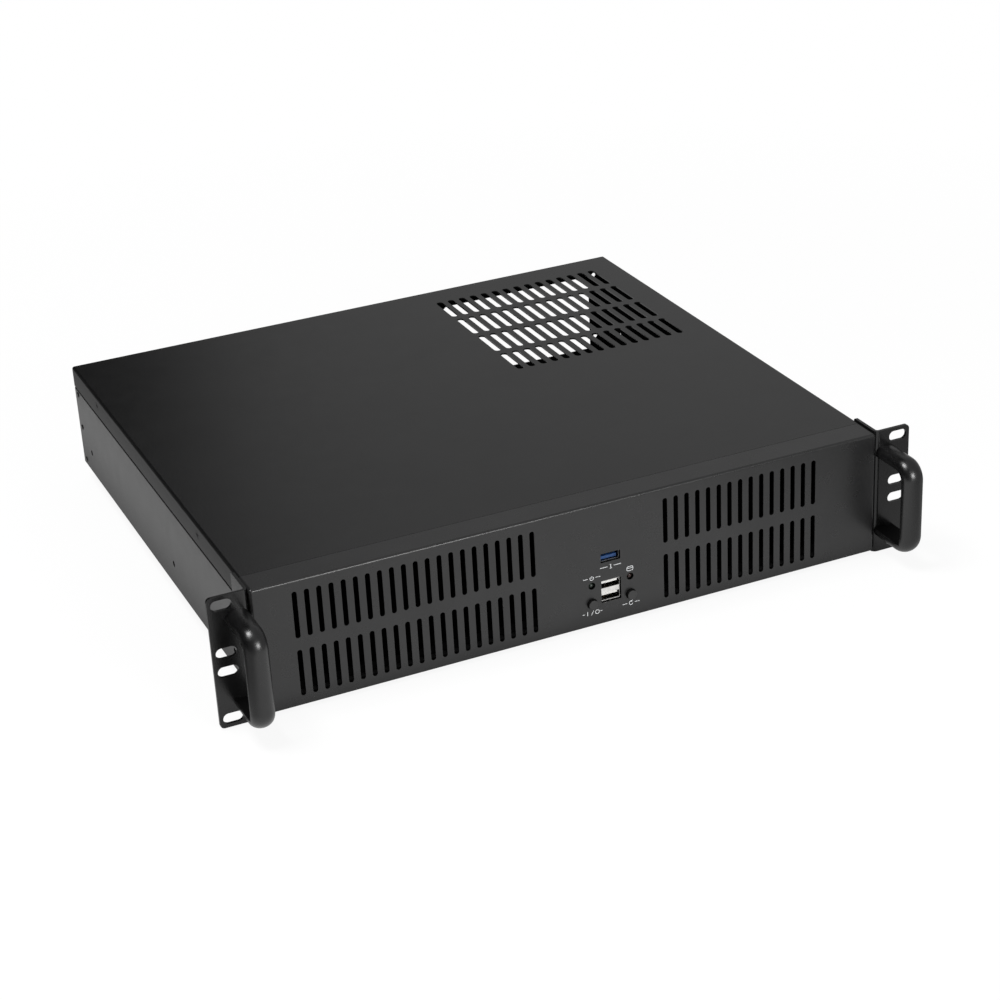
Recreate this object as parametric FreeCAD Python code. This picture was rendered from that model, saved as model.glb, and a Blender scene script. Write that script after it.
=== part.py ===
import FreeCAD, Part
import math
import os
from FreeCAD import Vector

# Empty 2U rackmount server case with ears, bow handles and front ports.
# Millimetres. X runs to the right seen from the front, Y to the back, Z up.
# Shapes are drawn with y = 0 on the face of the bezel and z = 0 at the foot of
# the rack ears. The export moves them so that the origin lies under the middle.

# Rack panel, 19 inch wide and two units high
PANEL_W = 482.6
PANEL_H = 88.1
RACK_SLOT_EDGE = 8.75
RACK_UNIT_HOLE = 31.75
RACK_HOLE_PAIR = 12.7
RACK_SLOT_L = 13.0
RACK_SLOT_W = 7.0

# Body
DEPTH = 390.0
BODY_TOP_DROP = 0.9
BODY_FLOOR = 11.0
SHEET = 1.2
BEND = 0.6
SHEET_GAP = 0.2
SLIDE_GAP = 0.3

# Cover
COVER_FLANGE = 14.7
COVER_SCREW_FRONT = 99.0
COVER_SCREW_REAR = 63.0
COVER_SCREW_DROP = 7.0
GRILLE_COLUMNS = 15
GRILLE_ROWS = 4
GRILLE_PITCH_X = 9.12
GRILLE_PITCH_Y = 38.65
GRILLE_SLOT_L = 32.5
GRILLE_SLOT_W = 5.0
GRILLE_SIDE = 88.5
GRILLE_REAR = 97.5

# Side walls of the tray
STEP_RISE = 0.9
TOP_FLANGE = 8.0
NOTCH_GAP = 2.0
NOTCH_RISE = 1.0
RAIL_FRONT = (43.0, 14.5)
RAIL_MIDDLE = (165.7, 18.3)
RAIL_REAR = (26.8, 18.3)
RAIL_HOLE_R = 2.1

# Bezel, a shallow pan over the front
BEZEL_STEP = 0.3
BEZEL_FOOT = 1.7
BEZEL_DEPTH = 20.0
BEZEL_EDGE_R = 1.8
VENT_PITCH = 7.75
VENT_LENGTH = 31.5
VENT_WIDTH = 3.3
VENT_ROW_PITCH = 39.5
VENT_LEFT_MARGIN = 27.2
VENT_RIGHT_MARGIN = 47.2
VENT_LEFT_OF_PORTS = 53.3
VENT_RIGHT_OF_PORTS = 39.2

# Wall behind the bezel
FRONT_GAP = 0.3
WALL_FLANGE_SIDE = 45.0
WALL_FLANGE = 30.0
WALL_TAIL_DROP = 12.0
WINDOW_MARGIN = 5.0
WINDOW_SILL = 5.8
WINDOW_HEAD = 7.2
WINDOW_R = 4.0

# Rack ears
EAR_W = 25.8
EAR_T = 2.0
EAR_SETBACK = 1.0
EAR_FLANGE = 26.0
EAR_BEND = 1.5
EAR_CORNER_R = 3.0
EAR_FLANGE_R = 1.5
EAR_SCREW_Y = 13.0
EAR_SCREW_SPAN = 44.0

# Bow handles
HANDLE_OUT = 8.0
HANDLE_W = 15.0
HANDLE_T = 7.5
HANDLE_SIDE = 1.6
HANDLE_EDGE_R = 0.8
HANDLE_REACH = 36.0
HANDLE_H = 67.5
HANDLE_CORNER_R = 14.0
HANDLE_BORE = 14.0

# Front ports, lamps and buttons
PORTS_X = 20.3
LAMP_OFFSET = 13.5
LAMP_Z = 30.9
LAMP_HOLE_R = 2.45
LAMP_R = 1.5
LAMP_RECESS = 0.7
LAMP_L = 5.0
LAMP_RIM_R = 1.85
LAMP_RIM_T = 1.0
SPACER_WALL = 0.65
SPACER_SETBACK = 0.6
BUTTON_OFFSET = 13.7
BUTTON_Z = 18.4
BUTTON_HOLE_R = 3.6
BUTTON_GAP = 0.4
BUTTON_PROUD = 2.6
BUTTON_TRAVEL = 0.8
BUTTON_EDGE_R = 0.4
BUTTON_COLLAR = 1.1
BUTTON_COLLAR_T = 1.2
BUTTON_STEM_R = 2.2
USB3_Z = 48.5
USB3_W = 13.2
USB3_H = 5.8
USB2_Z = 24.7
USB2_W = 13.4
USB2_H = 14.9
USB_CAVITY_H = 4.9
USB_WALL = 0.4
USB_CAVITY_D = 9.5
USB_RECESS = 1.4
USB_PANEL_GAP = 0.3
TONGUE_T = 1.9
TONGUE_RECESS = 1.6
TONGUE_DROP = 0.35
TONGUE_SIDE = 0.8
USB_BACK = 1.0
USB_CORNER_R = 0.5
FIT = 0.05

# Board that carries them
PORT_BOARD_Y = 17.0
PORT_BOARD_T = 1.6
PORT_BOARD_W = 58.0
PORT_BOARD_H = 42.5
PORT_POST_X = 25.5
PORT_POST_Z = (19.0, 51.0)
PORT_WINDOW_W = 44.0
PORT_WINDOW_TOP = 54.0
PORT_BOARD_R = 1.5
POST_BORE = 6.0
POST_BORE_END = 1.0
SWITCH_W = 6.0
SWITCH_H = 3.5
SWITCH_CORNER_R = 0.4
SWITCH_PLUNGER = 0.9
SWITCH_PLUNGER_R = 1.7

# Rear wall
REAR_FLANGE = 14.0
REAR_INSET = 12.0
INSET_SIDE = 17.5
INSET_TO_PSU = 10.7
INSET_TOP_DROP = 10.0
INSET_TOE = 7.0
IO_W = 158.75
IO_H = 44.45
IO_MARGIN = 2.65
IO_RISE = 5.4
IO_CORNER_R = 1.0
CARD_PITCH = 20.32
CARD_OFFSET = 14.5
CARD_MARGIN = 17.0
CARD_SLOT_W = 14.0
CARD_SLOT_SILL = 7.8
CARD_SLOT_HEAD = 5.2
CARD_COVER_W = 18.4
CARD_COVER_T = 0.9
CARD_COVER_TAB = 11.0
CARD_SCREW_IN = 6.6
CARD_TOE = 5.0
CARD_TOE_H = 4.0
CARD_TOE_STEP = 4.0
PSU_W = 134.0
PSU_H = 61.1
PSU_SIDE = 14.8
PSU_CLIP = (11.5, 9.3)
PSU_CLIP_R = 2.0
PSU_SCREW_OUT = 4.5
PSU_SCREW_RISE = (9.9, 61.4)
PSU_SCREW_R = 1.9
RIVET_FOOT = 5.4
RIVET_HEADROOM = 4.7
RIVET_EDGE = 7.0

# Board stand-offs on the floor
STANDOFF_H = 6.35
STANDOFF_AF = 5.5
STANDOFF_SOLE = 1.0
BOARD_COLUMNS = (0.0, 157.48, 203.2)
BOARD_ROWS = (0.0, 154.94, 227.33)
BOARD_MARGIN_X = 6.35
BOARD_MARGIN_Y = 10.16

# Drive cage and power supply rest
DRIVE_W = 101.6
DRIVE_PLAY = 0.4
CAGE_L = 146.0
CAGE_SIDE = 11.5
CAGE_Y = 44.0
CAGE_H = 58.0
CAGE_FOOT = 10.0
CAGE_SCREW_IN = 15.0
CAGE_FRAME = (18.0, 14.0)
CAGE_WINDOW_R = 8.0
DRIVE_SETBACK = 8.0
DRIVE_SLOT_L = 7.0
DRIVE_SLOT_W = 3.6
DRIVE_SCREWS = (41.3, 101.6)
DRIVE_LEVELS = (9.0, 37.0)
REST_REAR = 128.0
REST_W = 24.0
REST_H = 3.8
REST_FOOT = 7.0
REST_SIDE = 4.0
REST_SCREW_IN = 10.0

# Screws
M3_R = 1.5
M3_HEAD_R = 2.75
M3_HEAD_T = 1.8
M4_R = 2.0
M4_HEAD_R = 3.8
M4_HEAD_T = 2.4
RIVET_R = 1.6
RIVET_HEAD_R = 2.4
RIVET_HEAD_TOP_R = 1.4
RIVET_HEAD_T = 0.6
RIVET_TAIL = 1.1
THREAD_GAP = 0.05
BOLT_GAP = 0.2
SCREW_END = 2.0

# How far a cut runs past the faces it goes through, and what counts as the same place
OVER = 1.0
SAME = 1e-6

# Values worked out from the ones above
BODY_X = PANEL_W / 2 - EAR_W
BODY_TOP = PANEL_H - BODY_TOP_DROP
REAR_Y = DEPTH
REAR_IN = DEPTH - SHEET
FLOOR_TOP = BODY_FLOOR + SHEET
COVER_IN = BODY_TOP - SHEET
COVER_EDGE_Z = BODY_TOP - COVER_FLANGE
BODY_FRONT = BEZEL_DEPTH + SLIDE_GAP
STRIP_X = BODY_X - SHEET - SLIDE_GAP
STRIP_TOP = COVER_IN - SHEET_GAP
BEZEL_X = BODY_X - BEZEL_STEP
WALL_Y = SHEET + FRONT_GAP
WALL_BACK = WALL_Y + SHEET
WALL_X = BEZEL_X - SHEET - SHEET_GAP / 2
WALL_FOOT = FLOOR_TOP + SHEET_GAP / 2
INSET_Y = REAR_IN - REAR_INSET
INSET_TOP = BODY_TOP - INSET_TOP_DROP
INSET_RIGHT = BODY_X - PSU_SIDE - PSU_W - INSET_TO_PSU
INSET_LEFT = INSET_SIDE - BODY_X
IO_RIGHT = INSET_RIGHT - IO_MARGIN
IO_BOTTOM = FLOOR_TOP + IO_RISE
PSU_RIGHT = BODY_X - PSU_SIDE
PSU_LEFT = PSU_RIGHT - PSU_W
CARD_SLOT_FOOT = FLOOR_TOP + CARD_SLOT_SILL
CAGE_X = BODY_X - CAGE_SIDE - CAGE_L
REST_Y = REAR_Y - REST_REAR
HANDLE_X = BODY_X + HANDLE_OUT
EAR_BACK = EAR_SETBACK + EAR_T
VENT_Z = (PANEL_H - VENT_ROW_PITCH) / 2
ORIGIN_SHIFT = Vector(0, (HANDLE_REACH - DEPTH) / 2, 0)


def place(plane, u, v, w):
    """Point of a sketch plane: XZ, XY or YZ, with w along the third axis."""
    if plane == "XZ":
        return Vector(u, w, v)
    if plane == "XY":
        return Vector(u, v, w)
    return Vector(w, u, v)


def corner(before, point, after, radius):
    """Start, middle and end of the arc that rounds one corner of an outline."""
    a = (Vector(*before, 0) - Vector(*point, 0)).normalize()
    b = (Vector(*after, 0) - Vector(*point, 0)).normalize()
    half = a.getAngle(b) / 2
    reach = radius / math.tan(half)
    start = Vector(*point, 0) + a * reach
    end = Vector(*point, 0) + b * reach
    to_centre = (a + b).normalize()
    middle = Vector(*point, 0) + to_centre * (radius / math.sin(half) - radius)
    return [(p.x, p.y) for p in (start, middle, end)]


def outline(points, radii, plane, w):
    """Closed wire through the points, with rounded corners where radii say so."""
    if not isinstance(radii, (list, tuple)):
        radii = [radii] * len(points)
    pins = []
    for i, point in enumerate(points):
        if radii[i] > 0:
            after = points[(i + 1) % len(points)]
            pins.append(corner(points[i - 1], point, after, radii[i]))
        else:
            pins.append([point])
    edges = []
    for i, pin in enumerate(pins):
        start = place(plane, *pins[i - 1][-1], w)
        end = place(plane, *pin[0], w)
        if start.distanceToPoint(end) > SAME:
            edges.append(Part.LineSegment(start, end).toShape())
        if len(pin) == 3:
            edges.append(Part.Arc(*[place(plane, *p, w) for p in pin]).toShape())
    return Part.Wire(edges)


def prism(points, radii, plane, w0, w1):
    """Solid from an outline in a sketch plane, between two heights."""
    face = Part.Face(outline(points, radii, plane, w0))
    return face.extrude(place(plane, 0, 0, w1 - w0))


def folded(path, thickness, bend, side, plane, w0, w1):
    """Bent sheet: path lies on one face, the other is offset to that side."""
    legs = []
    for (u0, v0), (u1, v1) in zip(path, path[1:]):
        length = math.hypot(u1 - u0, v1 - v0)
        legs.append(((u1 - u0) / length, (v1 - v0) / length))
    normals = [(-side * dv, side * du) for du, dv in legs]
    first = (path[0][0] + normals[0][0] * thickness, path[0][1] + normals[0][1] * thickness)
    last = (path[-1][0] + normals[-1][0] * thickness, path[-1][1] + normals[-1][1] * thickness)
    back = [first]
    near_radii = [0]
    far_radii = [0]
    for i in range(1, len(path) - 1):
        n0 = normals[i - 1]
        n1 = normals[i]
        scale = thickness / (1 + n0[0] * n1[0] + n0[1] * n1[1])
        back.append((path[i][0] + (n0[0] + n1[0]) * scale, path[i][1] + (n0[1] + n1[1]) * scale))
        turn = side * (legs[i - 1][0] * legs[i][1] - legs[i - 1][1] * legs[i][0])
        near_radii.append(bend + thickness if turn > 0 else bend)
        far_radii.append(bend if turn > 0 else bend + thickness)
    back.append(last)
    near_radii.append(0)
    far_radii.append(0)
    return prism(path + back[::-1], near_radii + far_radii[::-1], plane, w0, w1)


def block(x0, x1, y0, y1, z0, z1):
    """Rectangular block between two corners."""
    return Part.makeBox(x1 - x0, y1 - y0, z1 - z0, Vector(x0, y0, z0))


def rod(x, y, z, radius, length, axis):
    """Cylinder from a point along an axis given as a vector."""
    return Part.makeCylinder(radius, length, Vector(x, y, z), axis)


def stadium(u, v, length, width, upright, plane, w0, w1):
    """Prism with a slot outline, its long side along v when upright."""
    flat = (length - width) / 2
    r = width / 2
    du, dv = (0, flat) if upright else (flat, 0)
    su, sv = (r, 0) if upright else (0, r)
    a = [place(plane, u + du + su, v + dv + sv, w0), place(plane, u + du - su, v + dv - sv, w0)]
    b = [place(plane, u - du - su, v - dv - sv, w0), place(plane, u - du + su, v - dv + sv, w0)]
    tip_a = place(plane, u + du + (0 if upright else r), v + dv + (r if upright else 0), w0)
    tip_b = place(plane, u - du - (0 if upright else r), v - dv - (r if upright else 0), w0)
    edges = [
        Part.Arc(a[0], tip_a, a[1]).toShape(),
        Part.LineSegment(a[1], b[0]).toShape(),
        Part.Arc(b[0], tip_b, b[1]).toShape(),
        Part.LineSegment(b[1], a[0]).toShape(),
    ]
    return Part.Face(Part.Wire(edges)).extrude(place(plane, 0, 0, w1 - w0))


def hole(x, y, z, radius, axis, wall=SHEET):
    """Cutter for a round hole through a wall that starts at this point."""
    start = Vector(x, y, z) - axis * OVER
    return Part.makeCylinder(radius, wall + 2 * OVER, start, axis)


def mirrored(shape):
    """Copy on the other side of the middle plane."""
    return shape.mirror(Vector(0, 0, 0), Vector(1, 0, 0))


def both_sides(shapes):
    """The shapes and their mirror images."""
    return shapes + [mirrored(s) for s in shapes]


def spread(count, pitch):
    """Places of a centred row."""
    return [(i - (count - 1) / 2) * pitch for i in range(count)]


def pan_screw(x, y, z, axis, shank_r, length, head_r, head_t):
    """Plain screw: the head stands back from the point, the shank ahead."""
    point = Vector(x, y, z)
    head = Part.makeCylinder(head_r, head_t, point, axis * -1)
    shank = Part.makeCylinder(shank_r, length, point, axis)
    return head.fuse(shank)


# Sheet metal

def chassis_base():
    """Tray folded from one sheet: floor, side walls with a sunk top strip."""
    edge = COVER_EDGE_Z - SHEET_GAP
    half = [
        (STRIP_X - TOP_FLANGE, STRIP_TOP),
        (STRIP_X, STRIP_TOP),
        (STRIP_X, edge),
        (BODY_X, edge - STEP_RISE),
        (BODY_X, BODY_FLOOR),
    ]
    path = half + [(-x, z) for x, z in half[::-1]]
    tray = folded(path, SHEET, BEND / 2, -1, "XZ", BODY_FRONT, REAR_Y)
    tongue = block(-WALL_X, WALL_X, WALL_Y, BODY_FRONT + OVER, BODY_FLOOR, FLOOR_TOP)
    tray = tray.fuse(tongue)
    notch_x = STRIP_X - SHEET
    notch_z = FLOOR_TOP + NOTCH_RISE
    front = block(0, notch_x, 0, WALL_Y + WALL_FLANGE + NOTCH_GAP, notch_z, BODY_TOP)
    rear = block(0, notch_x, REAR_Y - REAR_FLANGE - NOTCH_GAP, REAR_Y + OVER, notch_z, BODY_TOP)
    side = Vector(1, 0, 0)
    holes = [hole(BODY_X - SHEET, y, BODY_FLOOR + h, RAIL_HOLE_R, side) for y, h in rail_holes()]
    holes += [hole(BODY_X - SHEET, REAR_Y - RIVET_EDGE, z, RIVET_R + THREAD_GAP, side)
              for z in rivet_heights()]
    holes += [hole(STRIP_X - SHEET, y, cover_screw_z(), M3_R + THREAD_GAP, side)
              for y in cover_screw_ys()]
    cuts = both_sides([front, rear] + holes)
    cuts += [hole(x, y, BODY_FLOOR, M3_R + THREAD_GAP, Vector(0, 0, 1))
             for x, y in standoff_places() + cage_screw_places() + rest_screw_places()]
    return tray.cut(cuts).removeSplitter()


def rail_holes():
    """Depth and height above the foot of the side walls of the holes for slide rails."""
    return [RAIL_FRONT, RAIL_MIDDLE, (REAR_Y - RAIL_REAR[0], RAIL_REAR[1])]


def rivet_heights():
    """Three heights, spread over the side wall."""
    low = BODY_FLOOR + RIVET_FOOT
    high = COVER_EDGE_Z - RIVET_HEADROOM
    return [low, (low + high) / 2, high]


def cover_screw_ys():
    """Depth of the two screws in each side flange of the cover."""
    return [COVER_SCREW_FRONT, REAR_Y - COVER_SCREW_REAR]


def cover_screw_z():
    """Height of the screws in the side flanges of the cover."""
    return BODY_TOP - COVER_SCREW_DROP


def top_cover():
    """Cover with side flanges and a slotted grille over the power supply."""
    path = [(-BODY_X, COVER_EDGE_Z), (-BODY_X, BODY_TOP), (BODY_X, BODY_TOP), (BODY_X, COVER_EDGE_Z)]
    cover = folded(path, SHEET, BEND, -1, "XZ", BODY_FRONT, REAR_Y)
    cuts = []
    for dx in spread(GRILLE_COLUMNS, GRILLE_PITCH_X):
        for dy in spread(GRILLE_ROWS, GRILLE_PITCH_Y):
            x = BODY_X - GRILLE_SIDE + dx
            y = REAR_Y - GRILLE_REAR + dy
            cuts.append(stadium(x, y, GRILLE_SLOT_L, GRILLE_SLOT_W, True, "XY",
                                COVER_IN - OVER, BODY_TOP + OVER))
    sinks = [countersink(y, FIT) for y in cover_screw_ys()]
    return cover.cut(cuts + both_sides(sinks))


def countersink(y, clearance):
    """Cone and shank of a countersunk cover screw on the right side."""
    seat = Vector(BODY_X - SHEET, y, cover_screw_z())
    outwards = Vector(1, 0, 0)
    cone = Part.makeCone(M3_R + clearance, M3_HEAD_R + clearance, SHEET, seat, outwards)
    length = SLIDE_GAP + SHEET + SCREW_END
    tip = seat - outwards * length
    shank = Part.makeCylinder(M3_R + clearance - FIT / 2, length + SHEET / 2, tip, outwards)
    return cone.fuse(shank)


def rear_panel():
    """Rear wall: outer frame with the supply opening, and an inset field for
    the board ports and card slots with a ledge that carries the slot tabs."""
    low_x = BODY_X - SHEET - SHEET_GAP / 2
    high_x = STRIP_X - SHEET - SHEET_GAP / 2
    step_z = COVER_EDGE_Z - SHEET_GAP - STEP_RISE - SHEET
    foot = FLOOR_TOP + SHEET_GAP / 2
    half = [(high_x, STRIP_TOP), (high_x, step_z), (low_x, step_z), (low_x, foot)]
    plate = prism(half + [(-x, z) for x, z in half[::-1]], 0, "XZ", REAR_IN, REAR_Y)
    rim_w = 2 * (SHEET + BEND)
    lap = rim_w + OVER
    top = folded([(REAR_Y, STRIP_TOP - lap), (REAR_Y, STRIP_TOP), (REAR_Y - REAR_FLANGE, STRIP_TOP)],
                 SHEET, BEND, 1, "YZ", -high_x, high_x)
    side = folded([(low_x - lap, REAR_Y), (low_x, REAR_Y), (low_x, REAR_Y - REAR_FLANGE)],
                  SHEET, BEND, -1, "XY", foot, step_z)
    front = REAR_IN - OVER
    back = REAR_Y + OVER
    rim = block(-low_x - OVER, low_x + OVER, front, back, STRIP_TOP - rim_w, STRIP_TOP + OVER)
    edge = block(low_x - rim_w, low_x + OVER, front, back, foot - OVER, step_z)
    plate = plate.cut([rim, edge, mirrored(edge)]).fuse([top, side, mirrored(side)])
    x0 = INSET_LEFT
    x1 = INSET_RIGHT
    hood = block(x0, x1, INSET_Y, REAR_Y, foot, INSET_TOP)
    hollow = block(x0 + SHEET, x1 - SHEET, INSET_Y + SHEET, back, foot - OVER, INSET_TOP - SHEET)
    plate = plate.cut(block(x0, x1, front, back, foot - OVER, INSET_TOP))
    plate = plate.fuse(hood).cut(hollow)
    toe = block(x0 + SHEET, x1 - SHEET, INSET_Y - INSET_TOE, INSET_Y + SHEET, foot, foot + SHEET)
    plate = plate.fuse(toe)
    return plate.cut(rear_cuts(low_x)).removeSplitter()


def rear_cuts(low_x):
    """Openings, slots and holes of the rear wall."""
    clip_x, clip_z = PSU_CLIP
    x0 = PSU_LEFT
    x1 = PSU_RIGHT
    top = FLOOR_TOP + PSU_H
    psu = [(x0, BODY_FLOOR), (x1, BODY_FLOOR), (x1, top - clip_z), (x1 - clip_x, top), (x0 + clip_x, top),
           (x0, top - clip_z)]
    cuts = [prism(psu, [0, 0] + [PSU_CLIP_R] * 4, "XZ", REAR_IN - OVER, REAR_Y + OVER)]
    cuts += [hole(x, REAR_IN, FLOOR_TOP + rise, PSU_SCREW_R, Vector(0, 1, 0))
             for x in (x0 - PSU_SCREW_OUT, x1 + PSU_SCREW_OUT) for rise in PSU_SCREW_RISE]
    ports = [(IO_RIGHT - IO_W, IO_BOTTOM), (IO_RIGHT, IO_BOTTOM),
             (IO_RIGHT, IO_BOTTOM + IO_H), (IO_RIGHT - IO_W, IO_BOTTOM + IO_H)]
    cuts.append(prism(ports, IO_CORNER_R, "XZ", INSET_Y - OVER, INSET_Y + SHEET + OVER))
    half = CARD_SLOT_W / 2
    for x in card_places():
        cuts.append(block(x - half, x + half, INSET_Y - OVER, INSET_Y + SHEET + OVER, CARD_SLOT_FOOT,
                          INSET_TOP - CARD_SLOT_HEAD))
        cuts.append(hole(x, card_screw_y(), INSET_TOP - SHEET, M3_R + THREAD_GAP, Vector(0, 0, 1)))
    rivets = [hole(low_x - SHEET, REAR_Y - RIVET_EDGE, z, RIVET_R + THREAD_GAP, Vector(1, 0, 0))
              for z in rivet_heights()]
    return cuts + both_sides(rivets)


def card_places():
    """Middle of each card slot, counted from the board ports outwards, as many as there is room for."""
    first = IO_RIGHT - IO_W - CARD_OFFSET
    room = first - CARD_MARGIN - INSET_LEFT
    return [first - i * CARD_PITCH for i in range(1 + int(room / CARD_PITCH))]


def card_screw_y():
    """Depth of the screws that hold the slot covers on the ledge."""
    return INSET_Y + CARD_SCREW_IN


def slot_cover(x):
    """Blank cover of one card slot: plate, tab over the ledge, narrow toe."""
    back = INSET_Y - FIT
    front = back - CARD_COVER_T
    top = INSET_TOP + FIT + CARD_COVER_T
    foot = CARD_SLOT_FOOT - CARD_TOE
    half = CARD_COVER_W / 2
    cover = folded([(front, foot), (front, top), (front + CARD_COVER_TAB, top)], CARD_COVER_T, BEND / 4, -1,
                   "YZ", x - half, x + half)
    cuts = [block(x + s * half - CARD_TOE_STEP, x + s * half + CARD_TOE_STEP, front - OVER, back + OVER,
                  foot - OVER, foot + CARD_TOE_H) for s in (-1, 1)]
    cuts.append(hole(x, card_screw_y(), INSET_TOP, M3_R + BOLT_GAP, Vector(0, 0, 1), CARD_COVER_T))
    return cover.cut(cuts)


def front_wall():
    """Pan behind the bezel with windows for air and for the front ports."""
    side = folded([(WALL_X, WALL_Y + WALL_FLANGE_SIDE), (WALL_X, WALL_Y), (-WALL_X, WALL_Y),
                   (-WALL_X, WALL_Y + WALL_FLANGE_SIDE)], SHEET, BEND, -1, "XY", WALL_FOOT, STRIP_TOP)
    upright = [(WALL_Y + WALL_FLANGE, STRIP_TOP), (WALL_Y, STRIP_TOP), (WALL_Y, WALL_FOOT),
               (WALL_Y + WALL_FLANGE, WALL_FOOT)]
    span = WALL_X - SHEET - BEND
    pan = folded(upright, SHEET, BEND, 1, "YZ", -span, span)
    low = WALL_FOOT + SHEET + BEND
    high = STRIP_TOP - SHEET - BEND
    trim = [block(-span, span, WALL_Y - OVER, WALL_BACK + BEND, high, STRIP_TOP + OVER),
            block(-span, span, WALL_Y - OVER, WALL_BACK + BEND, WALL_FOOT - OVER, low)]
    pan = side.cut(trim).fuse(pan)
    back = WALL_Y + WALL_FLANGE_SIDE + OVER
    step = block(span, WALL_X + OVER, BEZEL_DEPTH, back, COVER_EDGE_Z - STEP_RISE - SHEET, BODY_TOP)
    tail_foot = COVER_EDGE_Z - WALL_TAIL_DROP
    tail = block(span - FIT, WALL_X + OVER, WALL_Y + WALL_FLANGE, back, tail_foot, BODY_TOP)
    cuts = both_sides([step.fuse(tail)])
    z0 = FLOOR_TOP + WINDOW_SILL
    z1 = BODY_TOP - WINDOW_HEAD
    for columns in vent_blocks():
        x0 = min(columns) - WINDOW_MARGIN
        x1 = max(columns) + WINDOW_MARGIN
        window = [(x0, z0), (x1, z0), (x1, z1), (x0, z1)]
        cuts.append(prism(window, WINDOW_R, "XZ", WALL_Y - OVER, WALL_BACK + OVER))
    half = PORT_WINDOW_W / 2
    cuts.append(block(PORTS_X - half, PORTS_X + half, WALL_Y - OVER, WALL_BACK + OVER, WALL_FOOT + SHEET,
                      PORT_WINDOW_TOP))
    cuts += [hole(x, WALL_Y, z, M3_R + THREAD_GAP, Vector(0, 1, 0)) for x, z in port_posts()]
    cuts += both_sides([hole(WALL_X - SHEET, EAR_SCREW_Y, z, M4_R + THREAD_GAP, Vector(1, 0, 0))
                        for z in ear_screw_heights()])
    return pan.cut(cuts).removeSplitter()


def vent_blocks():
    """Columns of vent slots on both sides of the ports, as many as fit, counted from the ports outwards."""
    left = PORTS_X - VENT_LEFT_OF_PORTS
    right = PORTS_X + VENT_RIGHT_OF_PORTS
    left_room = left + BEZEL_X - VENT_LEFT_MARGIN
    right_room = BEZEL_X - VENT_RIGHT_MARGIN - right
    left_count = 1 + round(left_room / VENT_PITCH)
    right_count = 1 + round(right_room / VENT_PITCH)
    return [[left - i * VENT_PITCH for i in range(left_count)],
            [right + i * VENT_PITCH for i in range(right_count)]]


def front_bezel():
    """Pan with rounded front edges, vent slots and holes for ports and buttons."""
    outer = block(-BEZEL_X, BEZEL_X, 0, BEZEL_DEPTH, BEZEL_FOOT, BODY_TOP)
    outer = round_pan(outer, 0, BEZEL_EDGE_R)
    inner = block(-BEZEL_X + SHEET, BEZEL_X - SHEET, SHEET, BEZEL_DEPTH + OVER, BEZEL_FOOT + SHEET, COVER_IN)
    inner = round_front(inner, SHEET, BEZEL_EDGE_R - SHEET)
    bezel = outer.cut(inner)
    cuts = []
    for columns in vent_blocks():
        for x in columns:
            for z in (VENT_Z, VENT_Z + VENT_ROW_PITCH):
                cuts.append(stadium(x, z, VENT_LENGTH, VENT_WIDTH, True, "XZ", -OVER, SHEET + OVER))
    cuts += port_cuts()
    cuts += both_sides([hole(BEZEL_X - SHEET, EAR_SCREW_Y, z, M4_R + BOLT_GAP, Vector(1, 0, 0))
                        for z in ear_screw_heights()])
    return bezel.cut(cuts)


def round_front(solid, y, radius):
    """Round the four edges of the face that lies at this depth."""
    edges = []
    for edge in solid.Edges:
        box = edge.BoundBox
        if abs(box.YMin - y) < SAME and abs(box.YMax - y) < SAME:
            edges.append(edge)
    return solid.makeFillet(radius, edges)


def round_pan(solid, y, radius):
    """Round the face at this depth and the four corners that run back from it."""
    edges = [edge for edge in solid.Edges if abs(edge.BoundBox.YMin - y) < SAME]
    return solid.makeFillet(radius, edges)


def port_cuts():
    """Holes of the bezel for sockets, lamps and buttons."""
    cuts = []
    for z, width, height in ((USB3_Z, USB3_W, USB3_H), (USB2_Z, USB2_W, USB2_H)):
        w = width / 2 + USB_PANEL_GAP
        h = height / 2 + USB_PANEL_GAP
        opening = [(PORTS_X - w, z - h), (PORTS_X + w, z - h), (PORTS_X + w, z + h), (PORTS_X - w, z + h)]
        cuts.append(prism(opening, USB_CORNER_R, "XZ", -OVER, SHEET + OVER))
    for s in (-1, 1):
        cuts.append(hole(PORTS_X + s * LAMP_OFFSET, 0, LAMP_Z, LAMP_HOLE_R, Vector(0, 1, 0)))
        cuts.append(hole(PORTS_X + s * BUTTON_OFFSET, 0, BUTTON_Z, BUTTON_HOLE_R, Vector(0, 1, 0)))
    return cuts


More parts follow.
